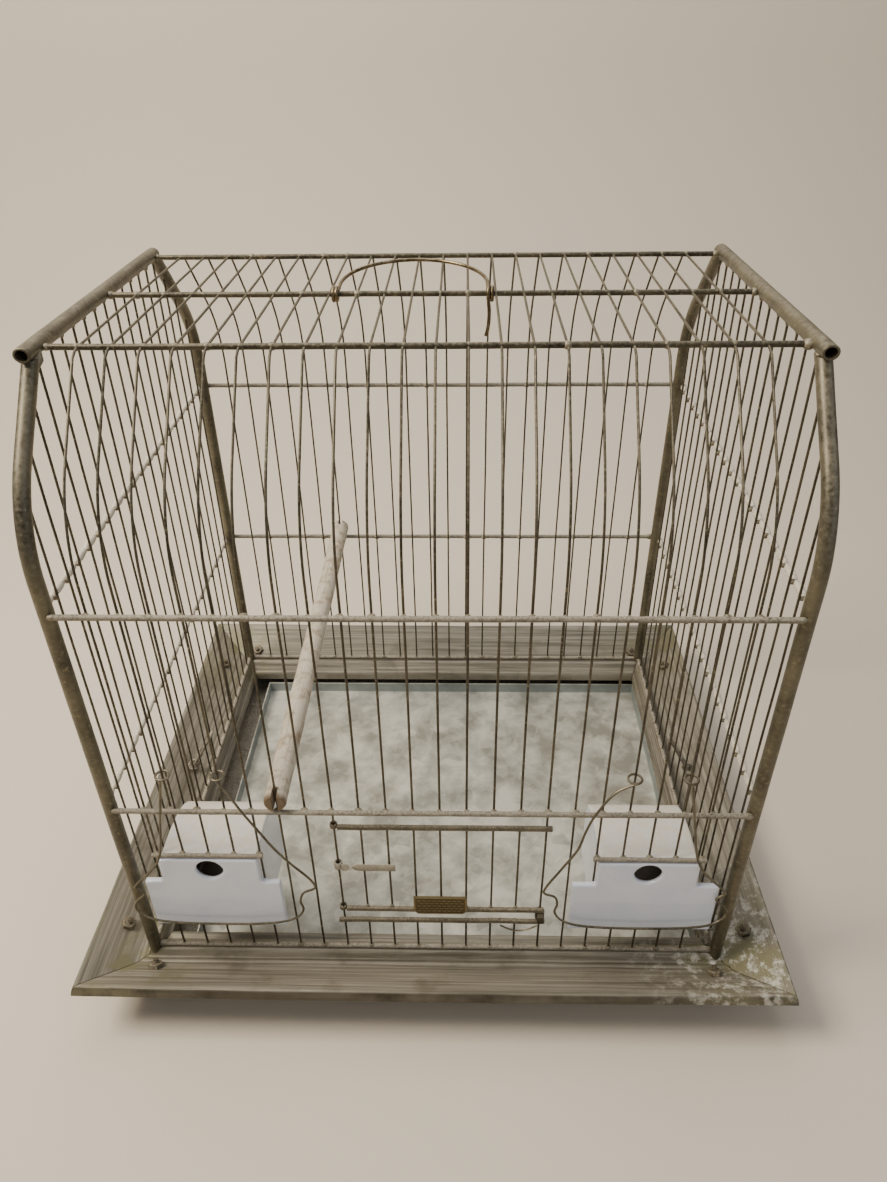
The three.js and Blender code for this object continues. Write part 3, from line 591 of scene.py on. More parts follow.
# blackened iron gussets and latch: dark brown, rough
darkIron = oldMetal("brownedIron", {
    "dark": "#2f291e", "light": "#554c39", "glint": "#8b7d58", "rubbed": 0.5, "dust": "#8d8471",
    "dustAbove": 0.5, "dustBelow": 0.1, "cloudSize": 8, "gritSize": 1.0, "metallic": 0.6,
    "roughness": 0.55, "relief": 0.5,
})


def makeWeatheredSheet():
    # rolled zinc-coated sheet: grey beige streaks along its length, painted shade in the fold and on the
    # lip's face, olive corrosion round the bolted corners and white lime bloom at the front right one
    look = {
        "grey": "#6e695c", "pale": "#9e988b", "paintedShade": "#3f392c", "olive": "#5f5a4a", "corroded": "#7f7b60",
        "bloom": "#cfcdc3", "streakLength": 110, "streakWidth": 2.2, "corner": (
            190, 150,
        ), "lip": 35.2, "fold": 6.2,
        "limed": (186, -146),
    }
    material, tree, place, _ = newMaterial("weatheredZincSheet")
    sheet = addNode(tree, "ShaderNodeUVMap", uv_map="sheet").outputs[0]
    across = addNode(tree, "ShaderNodeSeparateXYZ", {0: sheet}).outputs["Y"]
    stretched = addNode(tree, "ShaderNodeMapping", {
        "Vector": sheet, "Scale": (perMetre(look["streakLength"]), perMetre(look["streakWidth"]), 1.0),
    })
    streaks = addNode(tree, "ShaderNodeTexNoise", {
        "Vector": stretched.outputs[0], "Scale": 1.0, "Detail": 5.0, "Roughness": 0.62, "Distortion": 0.3,
    }).outputs[0]
    noises = addEach(tree, "ShaderNodeTexNoise", {"Vector": place}, noiseKeys, {
        "blotches": (perMetre(26), 6.0, 0.6), "grit": (
            perMetre(1.8), 4.0, 0.7,
        ), "spots": (perMetre(7), 8.0, 0.72),
    })
    foldNear = addNode(tree, "ShaderNodeMath", {0: across, 1: look["fold"] / 1000}, operation="SUBTRACT")
    foldOff = addNode(tree, "ShaderNodeMath", {0: foldNear.outputs[0]}, operation="ABSOLUTE")
    mirrored = addNode(tree, "ShaderNodeVectorMath", {0: place}, operation="ABSOLUTE")
    flat = addNode(
        tree, "ShaderNodeVectorMath", {0: mirrored.outputs[0], 1: (1.0, 1.0, 0.0)}, operation="MULTIPLY",
    )
    toCorner, toLimed = [
        addNode(tree, "ShaderNodeVectorMath", {0: spot, 1: at(*goal)}, operation="DISTANCE").outputs["Value"]
        for spot, goal in ((flat.outputs[0], (*look["corner"], 0)), (place, (*look["limed"], 30)))
    ]
    masks = addEach(tree, "ShaderNodeMapRange", {}, rangeKeys, {
        "streak": (streaks, 0.38, 0.62), "stain": (noises["blotches"], 0.54, 0.70, 0.0, 0.6),
        "lip": (across, look["lip"] / 1000, (look["lip"] + 1.2) / 1000),
        "fold": (foldOff.outputs[0], 0.0035, 0.0, 0.0, 0.65),
        "paintedShadeBreak": (noises["blotches"], 0.3, 0.6, 1.0, 0.62),
        "corner": (toCorner, 0.055, 0.012), "cornerBreak": (noises["blotches"], 0.44, 0.56),
        "limed": (toLimed, 0.075, 0.015), "spotBreak": (noises["spots"], 0.50, 0.62),
        "rough": (streaks, 0.0, 1.0, 0.45, 0.75),
    })
    # the fold line and the lip's turned-down face are painted darker: painted shade, broken up a little by
    # noise
    creaseAndLipShade = addNode(tree, "ShaderNodeMath", {0: masks["lip"], 1: masks["fold"]}, operation="MAXIMUM")
    broken = addEach(tree, "ShaderNodeMath", {}, (0, 1), {
        "bloom": (masks["limed"], masks["spotBreak"]), "paintedShade": (creaseAndLipShade.outputs[0], masks["paintedShadeBreak"]),
        "corroded": (masks["corner"], masks["cornerBreak"]),
    }, operation="MULTIPLY")
    colour = layered(
        tree, look["grey"], (masks["streak"], look["pale"]), (masks["stain"], look["olive"]),
        *[(broken[layer], look[layer]) for layer in ("paintedShade", "corroded", "bloom")],
    )
    metal = addNode(tree, "ShaderNodeMapRange", {"Value": broken["bloom"], "To Min": 0.45, "To Max": 0.0})
    height = addNode(tree, "ShaderNodeMath", {0: streaks, 1: noises["grit"]}, operation="ADD")
    return shaded(material, tree, (height.outputs[0], 0.4, 0.4), {
        "Base Color": colour, "Metallic": metal.outputs[0], "Roughness": masks["rough"],
    })


def makeGalvanisedPan():
    # hot-dip galvanised sheet, dulled: pale cloudy grey with faint crystal patches and water marks, and
    # painted shade on its upright faces
    look = {"pale": "#cecdc2", "grey": "#8f8f85", "paintedWallShade": "#7f8c90", "stain": "#7d7766", "spangle": 9}
    material, tree, place, facing = newMaterial("dulledGalvanisedSheet")
    spangle = addNode(tree, "ShaderNodeTexVoronoi", {
        "Vector": place, "Scale": perMetre(look["spangle"]), "Randomness": 1.0,
    })
    spangleGrey = addNode(tree, "ShaderNodeSeparateColor", {0: spangle.outputs["Color"]})
    noises = addEach(tree, "ShaderNodeTexNoise", {"Vector": place}, noiseKeys, {
        "clouds": (perMetre(32), 7.0, 0.62), "marks": (
            perMetre(75), 6.0, 0.55, 1.2,
        ), "grit": (perMetre(2), 4.0, 0.7),
    })
    patchy = addNode(tree, "ShaderNodeMath", {
        0: spangleGrey.outputs[0], 1: 0.10, 2: noises["clouds"],
    }, operation="MULTIPLY_ADD")
    masks = addEach(tree, "ShaderNodeMapRange", {}, rangeKeys, {
        "cloud": (patchy.outputs[0], 0.42, 0.68), "mark": (noises["marks"], 0.56, 0.70, 0.0, 0.6),
        "upright": (facing, 0.2, 0.8, 0.7, 0.0), "rough": (noises["clouds"], 0.3, 0.7, 0.42, 0.62),
    })
    # upright faces are painted a darker blue-grey: painted shade
    colour = layered(
        tree, look["grey"], (masks["cloud"], look["pale"]), (masks["mark"], look["stain"]),
        (masks["upright"], look["paintedWallShade"]),
    )
    relief = addNode(tree, "ShaderNodeMath", {0: noises["clouds"], 1: noises["grit"]}, operation="ADD")
    return shaded(material, tree, (relief.outputs[0], 0.22, 0.6), {
        "Base Color": colour, "Metallic": 0.35, "Roughness": masks["rough"],
    })


def makeMilkGlass():
    # pressed opal glass: blue-white with a wet gloss, cream dust on the hood, dark brown inside the cup
    look = {
        "glass": "#e9eef8", "shade": "#d2dbec", "dust": "#d6cfbe", "stain": "#43341f", "smudge": "#b7ad97",
    }
    material, tree, place, facing = newMaterial("pressedMilkGlass")
    behind = addNode(tree, "ShaderNodeSeparateXYZ", {0: place})
    noises = addEach(tree, "ShaderNodeTexNoise", {"Vector": place}, noiseKeys, {
        "clouds": (perMetre(18), 3.0, 0.5), "specks": (perMetre(4), 8.0, 0.7),
    })
    masks = addEach(tree, "ShaderNodeMapRange", {}, rangeKeys, {
        "smudge": (noises["specks"], 0.61, 0.72, 0.0, 0.45), "upward": (facing, 0.05, 0.75),
        "hood": (behind.outputs["Y"], -0.146, -0.141), "dustBreak": (noises["specks"], 0.3, 0.6, 0.45, 0.95),
    })
    dust = masks["upward"]
    for mask in ("hood", "dustBreak"):
        dust = addNode(tree, "ShaderNodeMath", {0: dust, 1: masks[mask]}, operation="MULTIPLY").outputs[0]
    # the inside of the cup is painted dark brown and dull
    insideDarkening = addNode(tree, "ShaderNodeAttribute", attribute_name="inside").outputs["Fac"]
    colour = layered(
        tree, look["shade"], (noises["clouds"], look["glass"]), (masks["smudge"], look["smudge"]),
        (dust, look["dust"]), (insideDarkening, look["stain"]),
    )
    dull = addNode(tree, "ShaderNodeMath", {0: dust, 1: insideDarkening}, operation="MAXIMUM")
    rough = addNode(tree, "ShaderNodeMapRange", {"Value": dull.outputs[0], "To Min": 0.10, "To Max": 0.55})
    return shaded(material, tree, (noises["clouds"], 0.15, 0.8), {
        "Base Color": colour, "Roughness": rough.outputs[0], "IOR": 1.52, "Subsurface Weight": 0.12,
        "Subsurface Radius": (0.004, 0.004, 0.005), "Subsurface Scale": 0.5, "Coat Weight": 0.3,
        "Coat Roughness": 0.06,
    })


def makePerchWood():
    # turned softwood under old whitewash: chalky cream, grain lines showing through, raw brown ends
    look = {"wash": "#cbc2b0", "wood": "#a2917a", "grain": "#75654e", "end": "#6b563c", "grainWidth": 0.9}
    material, tree, place, _ = newMaterial("whitewashedSoftwood")
    parts = addNode(tree, "ShaderNodeSeparateXYZ", {0: place})
    stretched = addNode(tree, "ShaderNodeMapping", {
        "Vector": place, "Scale": (perMetre(look["grainWidth"]), perMetre(28), perMetre(look["grainWidth"])),
    })
    grain = addNode(tree, "ShaderNodeTexNoise", {
        "Vector": stretched.outputs[0], "Scale": 1.0, "Detail": 4.0, "Roughness": 0.6, "Distortion": 0.4,
    }).outputs[0]
    wear = addNode(tree, "ShaderNodeTexNoise", {
        "Vector": place, "Scale": perMetre(9), "Detail": 8.0, "Roughness": 0.68,
    }).outputs[0]
    toEnd = addNode(tree, "ShaderNodeMath", {0: parts.outputs["Y"]}, operation="ABSOLUTE")
    ragged = addNode(
        tree, "ShaderNodeMath", {0: wear, 1: 0.006, 2: toEnd.outputs[0]}, operation="MULTIPLY_ADD",
    )
    masks = addEach(tree, "ShaderNodeMapRange", {}, rangeKeys, {
        "wash": (wear, 0.36, 0.52), "lines": (grain, 0.55, 0.68, 0.0, 0.6),
        "end": (ragged.outputs[0], 0.1465, 0.1500, 0.0, 0.9),
    })
    colour = layered(
        tree, look["wood"], (masks["wash"], look["wash"]), (masks["lines"], look["grain"]),
        (masks["end"], look["end"]),
    )
    height = addNode(tree, "ShaderNodeMath", {0: grain, 1: wear}, operation="ADD")
    return shaded(material, tree, (height.outputs[0], 0.5, 0.5), {"Base Color": colour, "Roughness": 0.85})


def makeStampedBronze():
    # stamped bronze plate: olive brown ground, lighter where the raised pattern is rubbed
    look = {"ground": "#5c5137", "raised": "#b0a177", "front": -146.4}
    material, tree, place, _ = newMaterial("stampedBronze")
    depth = addNode(tree, "ShaderNodeSeparateXYZ", {0: place})
    grit = addNode(tree, "ShaderNodeTexNoise", {
        "Vector": place, "Scale": perMetre(1.0), "Detail": 4.0, "Roughness": 0.7,
    }).outputs[0]
    raised = addNode(tree, "ShaderNodeMapRange", {
        "Value": depth.outputs["Y"], "From Min": look["front"] / 1000, "From Max": (
            look["front"] - 0.4
        ) / 1000,
    })
    worn = addNode(
        tree, "ShaderNodeMath", {0: raised.outputs[0], 1: grit, 2: 0.08}, operation="MULTIPLY_ADD",
    )
    return shaded(material, tree, (grit, 0.4, 0.2), {
        "Base Color": layered(tree, look["ground"], (worn.outputs[0], look["raised"])), "Metallic": 0.75,
        "Roughness": 0.45,
    })


weatheredSheet = makeWeatheredSheet()
galvanisedPan = makeGalvanisedPan()
milkGlass = makeMilkGlass()
perchWood = makePerchWood()
stampedBronze = makeStampedBronze()
print("materials:", len(bpy.data.materials))

# Sizes that several pieces share, in millimetres
cage = {
    "halfWidth": 172.5, "halfDepth": 142.5, "foot": 25.0, "bottomRod": 33.0, "lowerRing": 156.0,
    "upperRing": 284.0,
    "bend": 300.0, "bendRadius": 75.0, "bendAngle": 42.0, "roof": 388.0, "roofHalfDepth": 84.0,
    "wire": 0.65, "rod": 1.5, "post": 3.75, "pitch": 14.5, "middleBar": 5.5, "endPitch": 14.3, "ringOut": 3.0,
    "bars": range(-11, 11), "endBars": range(-9, 10), "feeders": (-9, 8), "doorHalf": 4,
}
rodHalf = cage["halfWidth"] - cage["post"]
rodHalfDeep = cage["halfDepth"] - cage["post"]


def barX(index):
    return cage["middleBar"] + cage["pitch"] * index


def wallPath(x, side, fromLevel, topReach, arcSteps=10):
    # up a front or back wall, round the bend and in to a distance from the middle; side is -1 at the front
    deep, radius = cage["halfDepth"], cage["bendRadius"]
    bend = math.radians(cage["bendAngle"])
    path = [(x, side * deep, fromLevel), (x, side * deep, cage["bend"])]
    for step in range(1, arcSteps + 1):
        angle = bend * step / arcSteps
        path.append(
            (x, side * (deep - radius * (1 - math.cos(angle))), cage["bend"] + radius * math.sin(angle)),
        )
    reach, level = abs(path[-1][1]), path[-1][2]
    path.append((x, side * topReach, level + (reach - topReach) / math.tan(bend)))
    return path


def frontStart(index):
    if abs(index) < cage["doorHalf"]:
        return cage["lowerRing"]
    if any(abs(index - middle) < 2 for middle in cage["feeders"]):
        return 120.0
    return cage["bottomRod"]


# Wire walls and roof
walls = {
    side: [
        wallPath(barX(i), side, start(i), 90.5) + [(barX(i), side * cage["roofHalfDepth"], cage["roof"])]
        for i in cage["bars"]
    ]
    for side, start in ((-1, frontStart), (1, lambda index: cage["bottomRod"]))
}
roofPaths = [
    [(barX(i), side * cage["roofHalfDepth"], cage["roof"]) for side in (-1, 1)] for i in cage["bars"]
]
for label, paths, seed in (("front", walls[-1], 3), ("back", walls[1], 11), ("roof", roofPaths, 23)):
    strung(
        f"{label}_bars", paths, cage["wire"], agedBrassWire, "cage", "aged_brass", f"{label}_wires",
        seed=seed,
    )


def endBarTop(y):
    # where an end wire meets the post's curve over it, or the roof tube
    post = wallPath(0, 1, 0, 86, 24)
    for low, high in zip(post, post[1:]):
        if high[1] <= y <= low[1] and high[2] > low[2] and low[1] > high[1]:
            share = (low[1] - y) / (low[1] - high[1])
            return min(386.0, low[2] + share * (high[2] - low[2]))
    return 386.0


for label, side, seed in (("left", -1, 31), ("right", 1, 47)):
    x = side * cage["halfWidth"]
    paths = []
    for i in cage["endBars"]:
        y = cage["endPitch"] * i
        paths.append([(x, y, cage["bottomRod"]), (x, y, endBarTop(abs(y)))])
    strung(
        f"{label}_bars", paths, cage["wire"], agedBrassWire, "cage", "aged_brass", f"{label}_wires",
        seed=seed, kink=0.9,
    )
print("bars done")

# Rods that the bars are soldered to
ringY = cage["halfDepth"] + cage["ringOut"]
ringX = cage["halfWidth"] + cage["ringOut"]
ringLevels = (cage["lowerRing"], cage["upperRing"])


def alongX(y, level, half=rodHalf, middle=0.0):
    return [(middle - half, y, level), (middle + half, y, level)]


def alongY(x, level):
    return [(x, -rodHalfDeep, level), (x, rodHalfDeep, level)]


strung(
    "roof_rods", [alongX(y, cage["roof"]) for y in (-84.0, 0.0, 84.0)], cage["rod"], agedBrassWire, "cage",
    "aged_brass", sides=12, kink=0.9, unevenness=0.22, seed=5,
)
bottomRods = [alongX(side * cage["halfDepth"], cage["bottomRod"]) for side in (-1, 1)]
bottomRods += [alongY(side * cage["halfWidth"], cage["bottomRod"]) for side in (-1, 1)]
strung(
    "bottom_rods", bottomRods, cage["rod"], dustyRod, "cage", "dusty_rod",
    sides=12, kink=0.3, unevenness=0.2, seed=6,
)
strung(
    "long_ring_rods", [alongX(side * ringY, level) for side in (-1, 1) for level in ringLevels], cage["rod"],
    dustyRod, "cage", "dusty_rod", "lower_rod_front", "lower_rod_back", "upper_rod_front", "upper_rod_back",
    sides=12, kink=0.8, unevenness=0.2, seed=8,
)
strung(
    "end_ring_rods", [alongY(side * ringX, level) for side in (-1, 1) for level in ringLevels], 1.15,
    dustAndHighlightRod, "cage", "dusty_rod", "lower_rod_left", "lower_rod_right", "upper_rod_left", "upper_rod_right",
    sides=12, step=0.9, kink=0.8, unevenness=0.7, crust=(cage["endPitch"], rodHalfDeep, 0.75), seed=9,
)
strung(
    "feeder_lintels", [
        alongX(-ringY, 120.0, 31.2, barX(middle)) for middle in cage["feeders"]
    ], 1.3, dustyRod,
    "cage", "dusty_rod", "feeder_lintel_left", "feeder_lintel_right",
    sides=12, kink=0.3, unevenness=0.2, seed=10,
)

# Short bars and sills under the feeders and the door
sill = {"feeder": 57.0, "door": 61.5, "feederHalf": 27.5, "hookSag": 5.0, "hookBars": (2.4, 3.9)}
stubTops = [(i, sill["feeder"]) for middle in cage["feeders"] for i in range(middle - 1, middle + 2)]
stubTops += [(i, sill["door"]) for i in range(-3, 4)]
stubs = [
    [
        (barX(i), -cage["halfDepth"], cage["bottomRod"]), (barX(i), -cage["halfDepth"], top),
    ] for i, top in stubTops
]
strung(
    "front_stubs", stubs, cage["wire"], agedBrassWire, "cage", "dusty_rod", "front_sill", kink=0.2, seed=12,
)
feederSills = [
    alongX(-cage["halfDepth"], sill["feeder"], sill["feederHalf"], barX(middle)) for middle in cage["feeders"]
]
strung(
    "feeder_sills", feederSills, 1.3, dustyRod, "cage", "dusty_rod",
    sides=12, kink=0.2, unevenness=0.2, seed=13,
)
hookStart, hookEnd = [barX(bar) for bar in sill["hookBars"]]
hook = []
for step in range(7):
    sag = sill["hookSag"] * math.sin(math.pi * step / 6)
    hook.append(Vector((hookStart + (hookEnd - hookStart) * step / 6, -145.6, 59.4 - sag)))
strung(
    "sill_hook", [curveThrough(hook, 4)], 0.5, springWire, "cage", "dusty_rod", kink=0.3, step=1.5, seed=14,
)


def stripRings(ends, level, halfTall, depthFrom, depthTo, seed, stations=48):
    # a narrow folded strip along X: rounded edges and a shallow crease down the middle of each face
    front, back = depthFrom, depthTo
    corner = 0.7
    outline = [
        (front, -halfTall + corner), (front + 0.2, -halfTall + 0.2), (front + corner, -halfTall),
        (back - corner, -halfTall), (back - 0.2, -halfTall + 0.2), (back, -halfTall + corner),
        (back, halfTall - corner), (back - 0.2, halfTall - 0.2), (back - corner, halfTall),
        (front + corner, halfTall), (front + 0.2, halfTall - 0.2), (front, halfTall - corner),
        (front, 0.4), (front + 0.35, 0.0), (front, -0.4),
    ]
    rings = []
    for station in range(stations + 1):
        x = ends[0] + (ends[1] - ends[0]) * station / stations
        lift = 0.3 * noise.noise(Vector((x / 22, seed, 0)))
        sway = 0.2 * noise.noise(Vector((x / 16, seed, 5)))
        rings.append([at(x, y + sway, level + z + lift) for y, z in outline])
    return rings


door = {
    "guides": (barX(-4), barX(4)), "bottom": 72.0, "top": 143.0, "tall": 1.5, "front": -145.2, "back": -142.9,
    "strap": 110.0, "strapEnd": -20.0, "knuckle": 2.2, "bore": 1.5,
}


def sleeveRings(x, low, high, outer, inner, sides=20):
    # an upright hollow sleeve with eased rims, round a guide wire
    middle = at(x, -cage["halfDepth"], 0)
    stops = [
        (outer - 0.3, low), (outer, low + 0.3), (outer, high - 0.3), (outer - 0.3, high), (inner, high),
        (inner, low),
    ]
    return [
        circlePoints(middle + at(0, 0, z), radius / 1000, sides, Vector((1, 0, 0)), Vector((0, 1, 0)))
        for radius, z in stops
    ]


doorStrip = (door["tall"], door["front"], door["back"])
shape = bmesh.new()
loftRings(shape, stripRings((door["guides"][0] - 3, door["guides"][1] + 3), sill["door"], *doorStrip, 2.0))
dress(fromBmesh("door_sill", shape), grimyRail, "cage", "dusty_rod", smoothBelow=50)

# Solder at every crossing
beads = {"long": 1.9, "thin": 1.25, "spread": 0.28}
crossings = []
for i in cage["bars"]:
    x = barX(i)
    for side in (-1, 1):
        for level in (cage["lowerRing"], cage["upperRing"]):
            crossings.append(
                ((x, side * (ringY - 1.6), level), (0, 0, 0), (beads["long"], 1.5, beads["thin"])),
            )
        crossings.append(
            ((x, side * cage["roofHalfDepth"], cage["roof"]), (0, 0, 0), (beads["long"], 1.5, 1.6)),
        )
        crossings.append(
            ((x, side * cage["halfDepth"], cage["bottomRod"] + 0.8), (0, 0, 0), (beads["long"], 1.5, 1.5)),
        )
    crossings.append(((x, 0, cage["roof"]), (0, 0, 0), (beads["long"], 1.6, 1.6)))
for i in cage["endBars"]:
    y = cage["endPitch"] * i
    for side in (-1, 1):
        for level in (cage["lowerRing"], cage["upperRing"]):
            crossings.append(((side * (ringX - 1.6), y, level), (0, 0, 0), (1.5, beads["thin"], 1.5)))
        crossings.append(
            ((side * cage["halfWidth"], y, cage["bottomRod"] + 0.8), (0, 0, 0), (1.5, beads["long"], 1.5)),
        )
        crossings.append(((side * cage["halfWidth"], y, endBarTop(abs(y)) - 1.0), (0, 0, 0), (1.3, 1.9, 1.6)))
for middle in cage["feeders"]:
    for i in range(middle - 2, middle + 3):
        crossings.append(((barX(i), -(ringY - 1.6), 120.0), (0, 0, 0), (1.8, 1.5, 1.2)))
for side in (-1, 1):
    for y, z, size in ((-84.0, 388.0, 2.6), (0.0, 388.0, 2.6), (84.0, 388.0, 2.6)):
        crossings.append(((side * (rodHalf - 0.6), y, z), (0, 0, 0), (2.6, size, 2.2)))
    for deep in (-1, 1):
        for level in (cage["lowerRing"], cage["upperRing"]):
            crossings.append(((side * rodHalf, deep * ringY, level), (0, 0, 0), (3.2, 1.9, 1.9)))
            crossings.append(((side * ringX, deep * rodHalfDeep, level), (0, 0, 0), (1.9, 3.2, 1.9)))
        crossings.append(
            ((side * rodHalf, deep * cage["halfDepth"], cage["bottomRod"]), (0, 0, 0), (3.0, 1.9, 1.9)),
        )
        crossings.append(
            ((side * cage["halfWidth"], deep * rodHalfDeep, cage["bottomRod"]), (0, 0, 0), (1.9, 3.0, 1.9)),
        )
        crossings.append(
            ((side * cage["halfWidth"], deep * 90.5, 384.6), (deep * -0.7, 0, 0), (4.1, 4.6, 2.4)),
        )
dress(
    grown("solder_beads", beadTree, spotMesh("solder_beads", crossings), {
        "Seed": 17, "Spread": beads["spread"], "Material": solderMetal,
    }),
    solderMetal, "cage", "dusty_rod", smoothBelow=80,
)
print("rods and solder done:", len(crossings), "crossings")

# Posts: folded brass tube, cut flat under the roof tubes
posts = []
for sideX in (-1, 1):
    for sideY in (-1, 1):
        posts.append(wallPath(sideX * cage["halfWidth"], sideY, 23.6, 86, 16))
corner = wires(
    "corner_posts", posts, cage["post"], postBrass, sides=28, step=3.0, kink=0.4, unevenness=0.03, seed=15,
)
shape = bmesh.new()
shape.from_mesh(corner.data)
cutGeometry = shape.verts[:] + shape.edges[:] + shape.faces[:]
bmesh.ops.bisect_plane(
    shape, geom=cutGeometry, plane_co=at(0, 0, 385.6), plane_no=(0, 0, 1), clear_outer=True,
)
bmesh.ops.holes_fill(shape, edges=[e for e in shape.edges if e.is_boundary])
shape.to_mesh(corner.data)
shape.free()
postNodes = [f"post_{end}_{side}" for end in ("front", "back") for side in ("left", "right")]
dress(corner, postBrass, "cage", "aged_brass", *postNodes)

# Roof tubes: open brass tube, its ends a little crushed
roofTube = {"radius": 3.75, "bore": 2.7, "front": -99.0, "back": 90.0, "level": 389.0, "sides": 32}
tubes = []
for side in (-1, 1):
    low, high = roofTube["front"], roofTube["back"]
    count = 60
    outer = [(roofTube["radius"] - 0.3, low), (roofTube["radius"], low + 0.3)]
    outer += [(roofTube["radius"], low + (high - low) * k / count) for k in range(1, count)]
    outer += [(roofTube["radius"], high - 0.3), (roofTube["radius"] - 0.3, high)]
    stops = outer + [(roofTube["bore"], high), (roofTube["bore"], low)]
    rings = []
    for radius, y in stops:
        crush = 0.08 * max(0.0, 1 - min(y - low, high - y) / 8)
        wave = 0.12 * noise.noise(Vector((y / 18, side * 3, 0)))
        centre = at(side * cage["halfWidth"] + wave, y, roofTube["level"])
        wide, tall = Vector((1 + crush * 0.4, 0, 0)), Vector((0, 0, 1 - crush))
        rings.append(circlePoints(centre, radius / 1000, roofTube["sides"], tall, wide))
    tubes.append(lofted("tube", (rings, True)))
dress(joined("roof_tubes", tubes), postBrass, "cage", "aged_brass", "roof_tube_left", "roof_tube_right")

# Flange: four rolled sheets meeting on the mitre
flange = {
    "topLine": [
        (-14, -6), (-14, 0), (-11.5, 2), (
            -7.5, 0.2,
        ), (-4.5, 5), (-3, 6), (2.5, 6), (4.5, 0.8), (7, 2.4), (9.5, 1.2),
        (34.5, 18), (36.3, 18.2), (37.8, 12.4),
    ],
    "thickness": 1.2, "endShrink": 0.43, "seam": 0.35, "stations": 90, "dent": 0.35, "sag": 1.4,
}


def belowLine(line, distance):
    # the sheet's underside, squarely below every fold of its top line
    lower = []
    for index, point in enumerate(line):
        normals = []
        for start, end in ((index - 1, index), (index, index + 1)):
            if start >= 0 and end < len(line):
                run = (line[end] - line[start]).normalized()
                normals.append(Vector((run.y, -run.x)))
        middle = sum(normals, Vector((0, 0))).normalized()
        lower.append(point + middle * distance / middle.dot(normals[-1]))
    return lower


def flangeSheet(shape, along, across, acrossShrink, alongShrink, turn, seed):
    top = [Vector(point) for point in flange["topLine"]]
    outline = roundedCorners(top) + list(reversed(roundedCorners(belowLine(top, flange["thickness"]))))
    stations = flange["stations"]
    rings = []
    for station in range(stations + 1):
        share = 2 * station / stations - 1
        ring = []
        for out, height in outline:
            inward = out if out > 0 else out * acrossShrink
            mitre = along + (out if out > 0 else out * alongShrink) - flange["seam"]
            y = share * mitre
            dent = flange["dent"] * noise.noise(Vector((y / 34, out / 30, seed)))
            outer = max(0.0, (out - 24) / 12)
            droop = outer * (
                0.4 * noise.noise(Vector((y / 55, seed, 0))) - flange["sag"] * (1 - share * share)
            )
            ring.append(
                Euler((0, 0, turn)).to_matrix() @ at(across + inward, y, cage["foot"] + height + dent + droop)
            )
        rings.append(ring)
    count = len(outline)
    outs = [point[0] for point in outline]
    loftRings(shape, rings, sheetMap=lambda row, column: (
        (2 * row / stations - 1) * along / 1000 + seed, outs[column % count] / 1000,
    ))


shape = bmesh.new()
for turn, seed in ((0, 1.0), (math.pi, 2.0)):
    flangeSheet(shape, cage["halfDepth"], cage["halfWidth"], flange["endShrink"], 1, turn, seed)
for turn, seed in ((math.pi / 2, 3.0), (-math.pi / 2, 4.0)):
    flangeSheet(shape, cage["halfWidth"], cage["halfDepth"], 1, flange["endShrink"], turn, seed)
bmesh.ops.recalc_face_normals(shape, faces=shape.faces)
base = fromBmesh("base_flange", shape)
base.data.uv_layers[0].name = "sheet"
dress(
    base, weatheredSheet, "cage", "weathered_sheet", "flange_left", "flange_right", "flange_front",
    "flange_back", smoothBelow=45,
)

# Skirt and gussets under the flange
dress(softenedCopy("base_skirt", "skirt", 0.4), dustyRod, "cage", "weathered_sheet", "skirt", smoothBelow=30)
for label in ("front_left", "front_right", "back_left", "back_right"):
    dress(
        softenedCopy(f"gusset_{label}", f"corner_gusset_{label}", 0.15), darkIron, "cage", "dark_bronze",
        f"corner_gusset_{label}",
    )

# Nuts on the studs at each corner
fasteners = {
    "nut": 4.5, "height": 2.5, "stud": 1.9, "studHeight": 4.4, "thread": 0.6, "slopeStart": (9.5, 1.2),
    "slopeEnd": (34.5, 18.0), "endOut": 21.0, "endY": 130.0, "frontOut": 14.0, "frontX": 169.0,
}
(startOut, startUp), (endOut, endUp) = fasteners["slopeStart"], fasteners["slopeEnd"]
slope = math.atan2(endUp - startUp, endOut - startOut)


def onSlope(out):
    return cage["foot"] + startUp + (out - startOut) * math.tan(slope)


spots = []
for sideX in (-1, 1):
    for sideY in (-1, 1):
        spots.append((
            (
                sideX * (cage["halfWidth"] + fasteners["endOut"]), sideY * fasteners["endY"],
                onSlope(fasteners["endOut"]),
            ),
            (0, -sideX * slope, 0), (1, 1, 1),
        ))
        spots.append((
            (
                sideX * fasteners["frontX"], sideY * (cage["halfDepth"] + fasteners["frontOut"]),
                onSlope(fasteners["frontOut"]),
            ),
            (sideY * slope, 0, 0), (1, 1, 1),
        ))
nutNodes = [
    f"flange_nut_{end}_{side}_{n}" for end in ("front", "back") for side in ("left", "right") for n in (1, 2)
]
dress(
    grown("flange_nuts", nutTree, spotMesh("flange_nuts", spots), {
        "Nut radius": fasteners["nut"] / 1000, "Nut height": fasteners["height"] / 1000,
        "Stud radius": fasteners["stud"] / 1000, "Stud height": fasteners["studHeight"] / 1000,
        "Thread pitch": fasteners["thread"] / 1000, "Material": grimyRail,
    }),
    grimyRail, "cage", "weathered_sheet", *nutNodes, smoothBelow=28,
)
print("base done")

# Side eyes and their clips
clip = {
    "out": 17.5, "y": 7.15, "lift": 6.6, "ring": 3.0, "wire": 1.0, "lean": 30.0, "half": 3.3, "length": 36.0,
    "binding": 13.0, "turns": 3, "bindingTall": 3.2,
}
collarSizes = {
    "Nut radius": 0.0042, "Nut height": 0.0026, "Stud radius": 0.0018, "Stud height": 0.0032,
    "Thread pitch": 0.0006, "Material": dustyRod,
}


def ringPath(centre, radius, acrossOne, acrossTwo, steps=18):
    points = circlePoints(Vector(centre), radius, steps, Vector(acrossOne), Vector(acrossTwo))
    return [tuple(p) for p in points] + [tuple(points[0])]


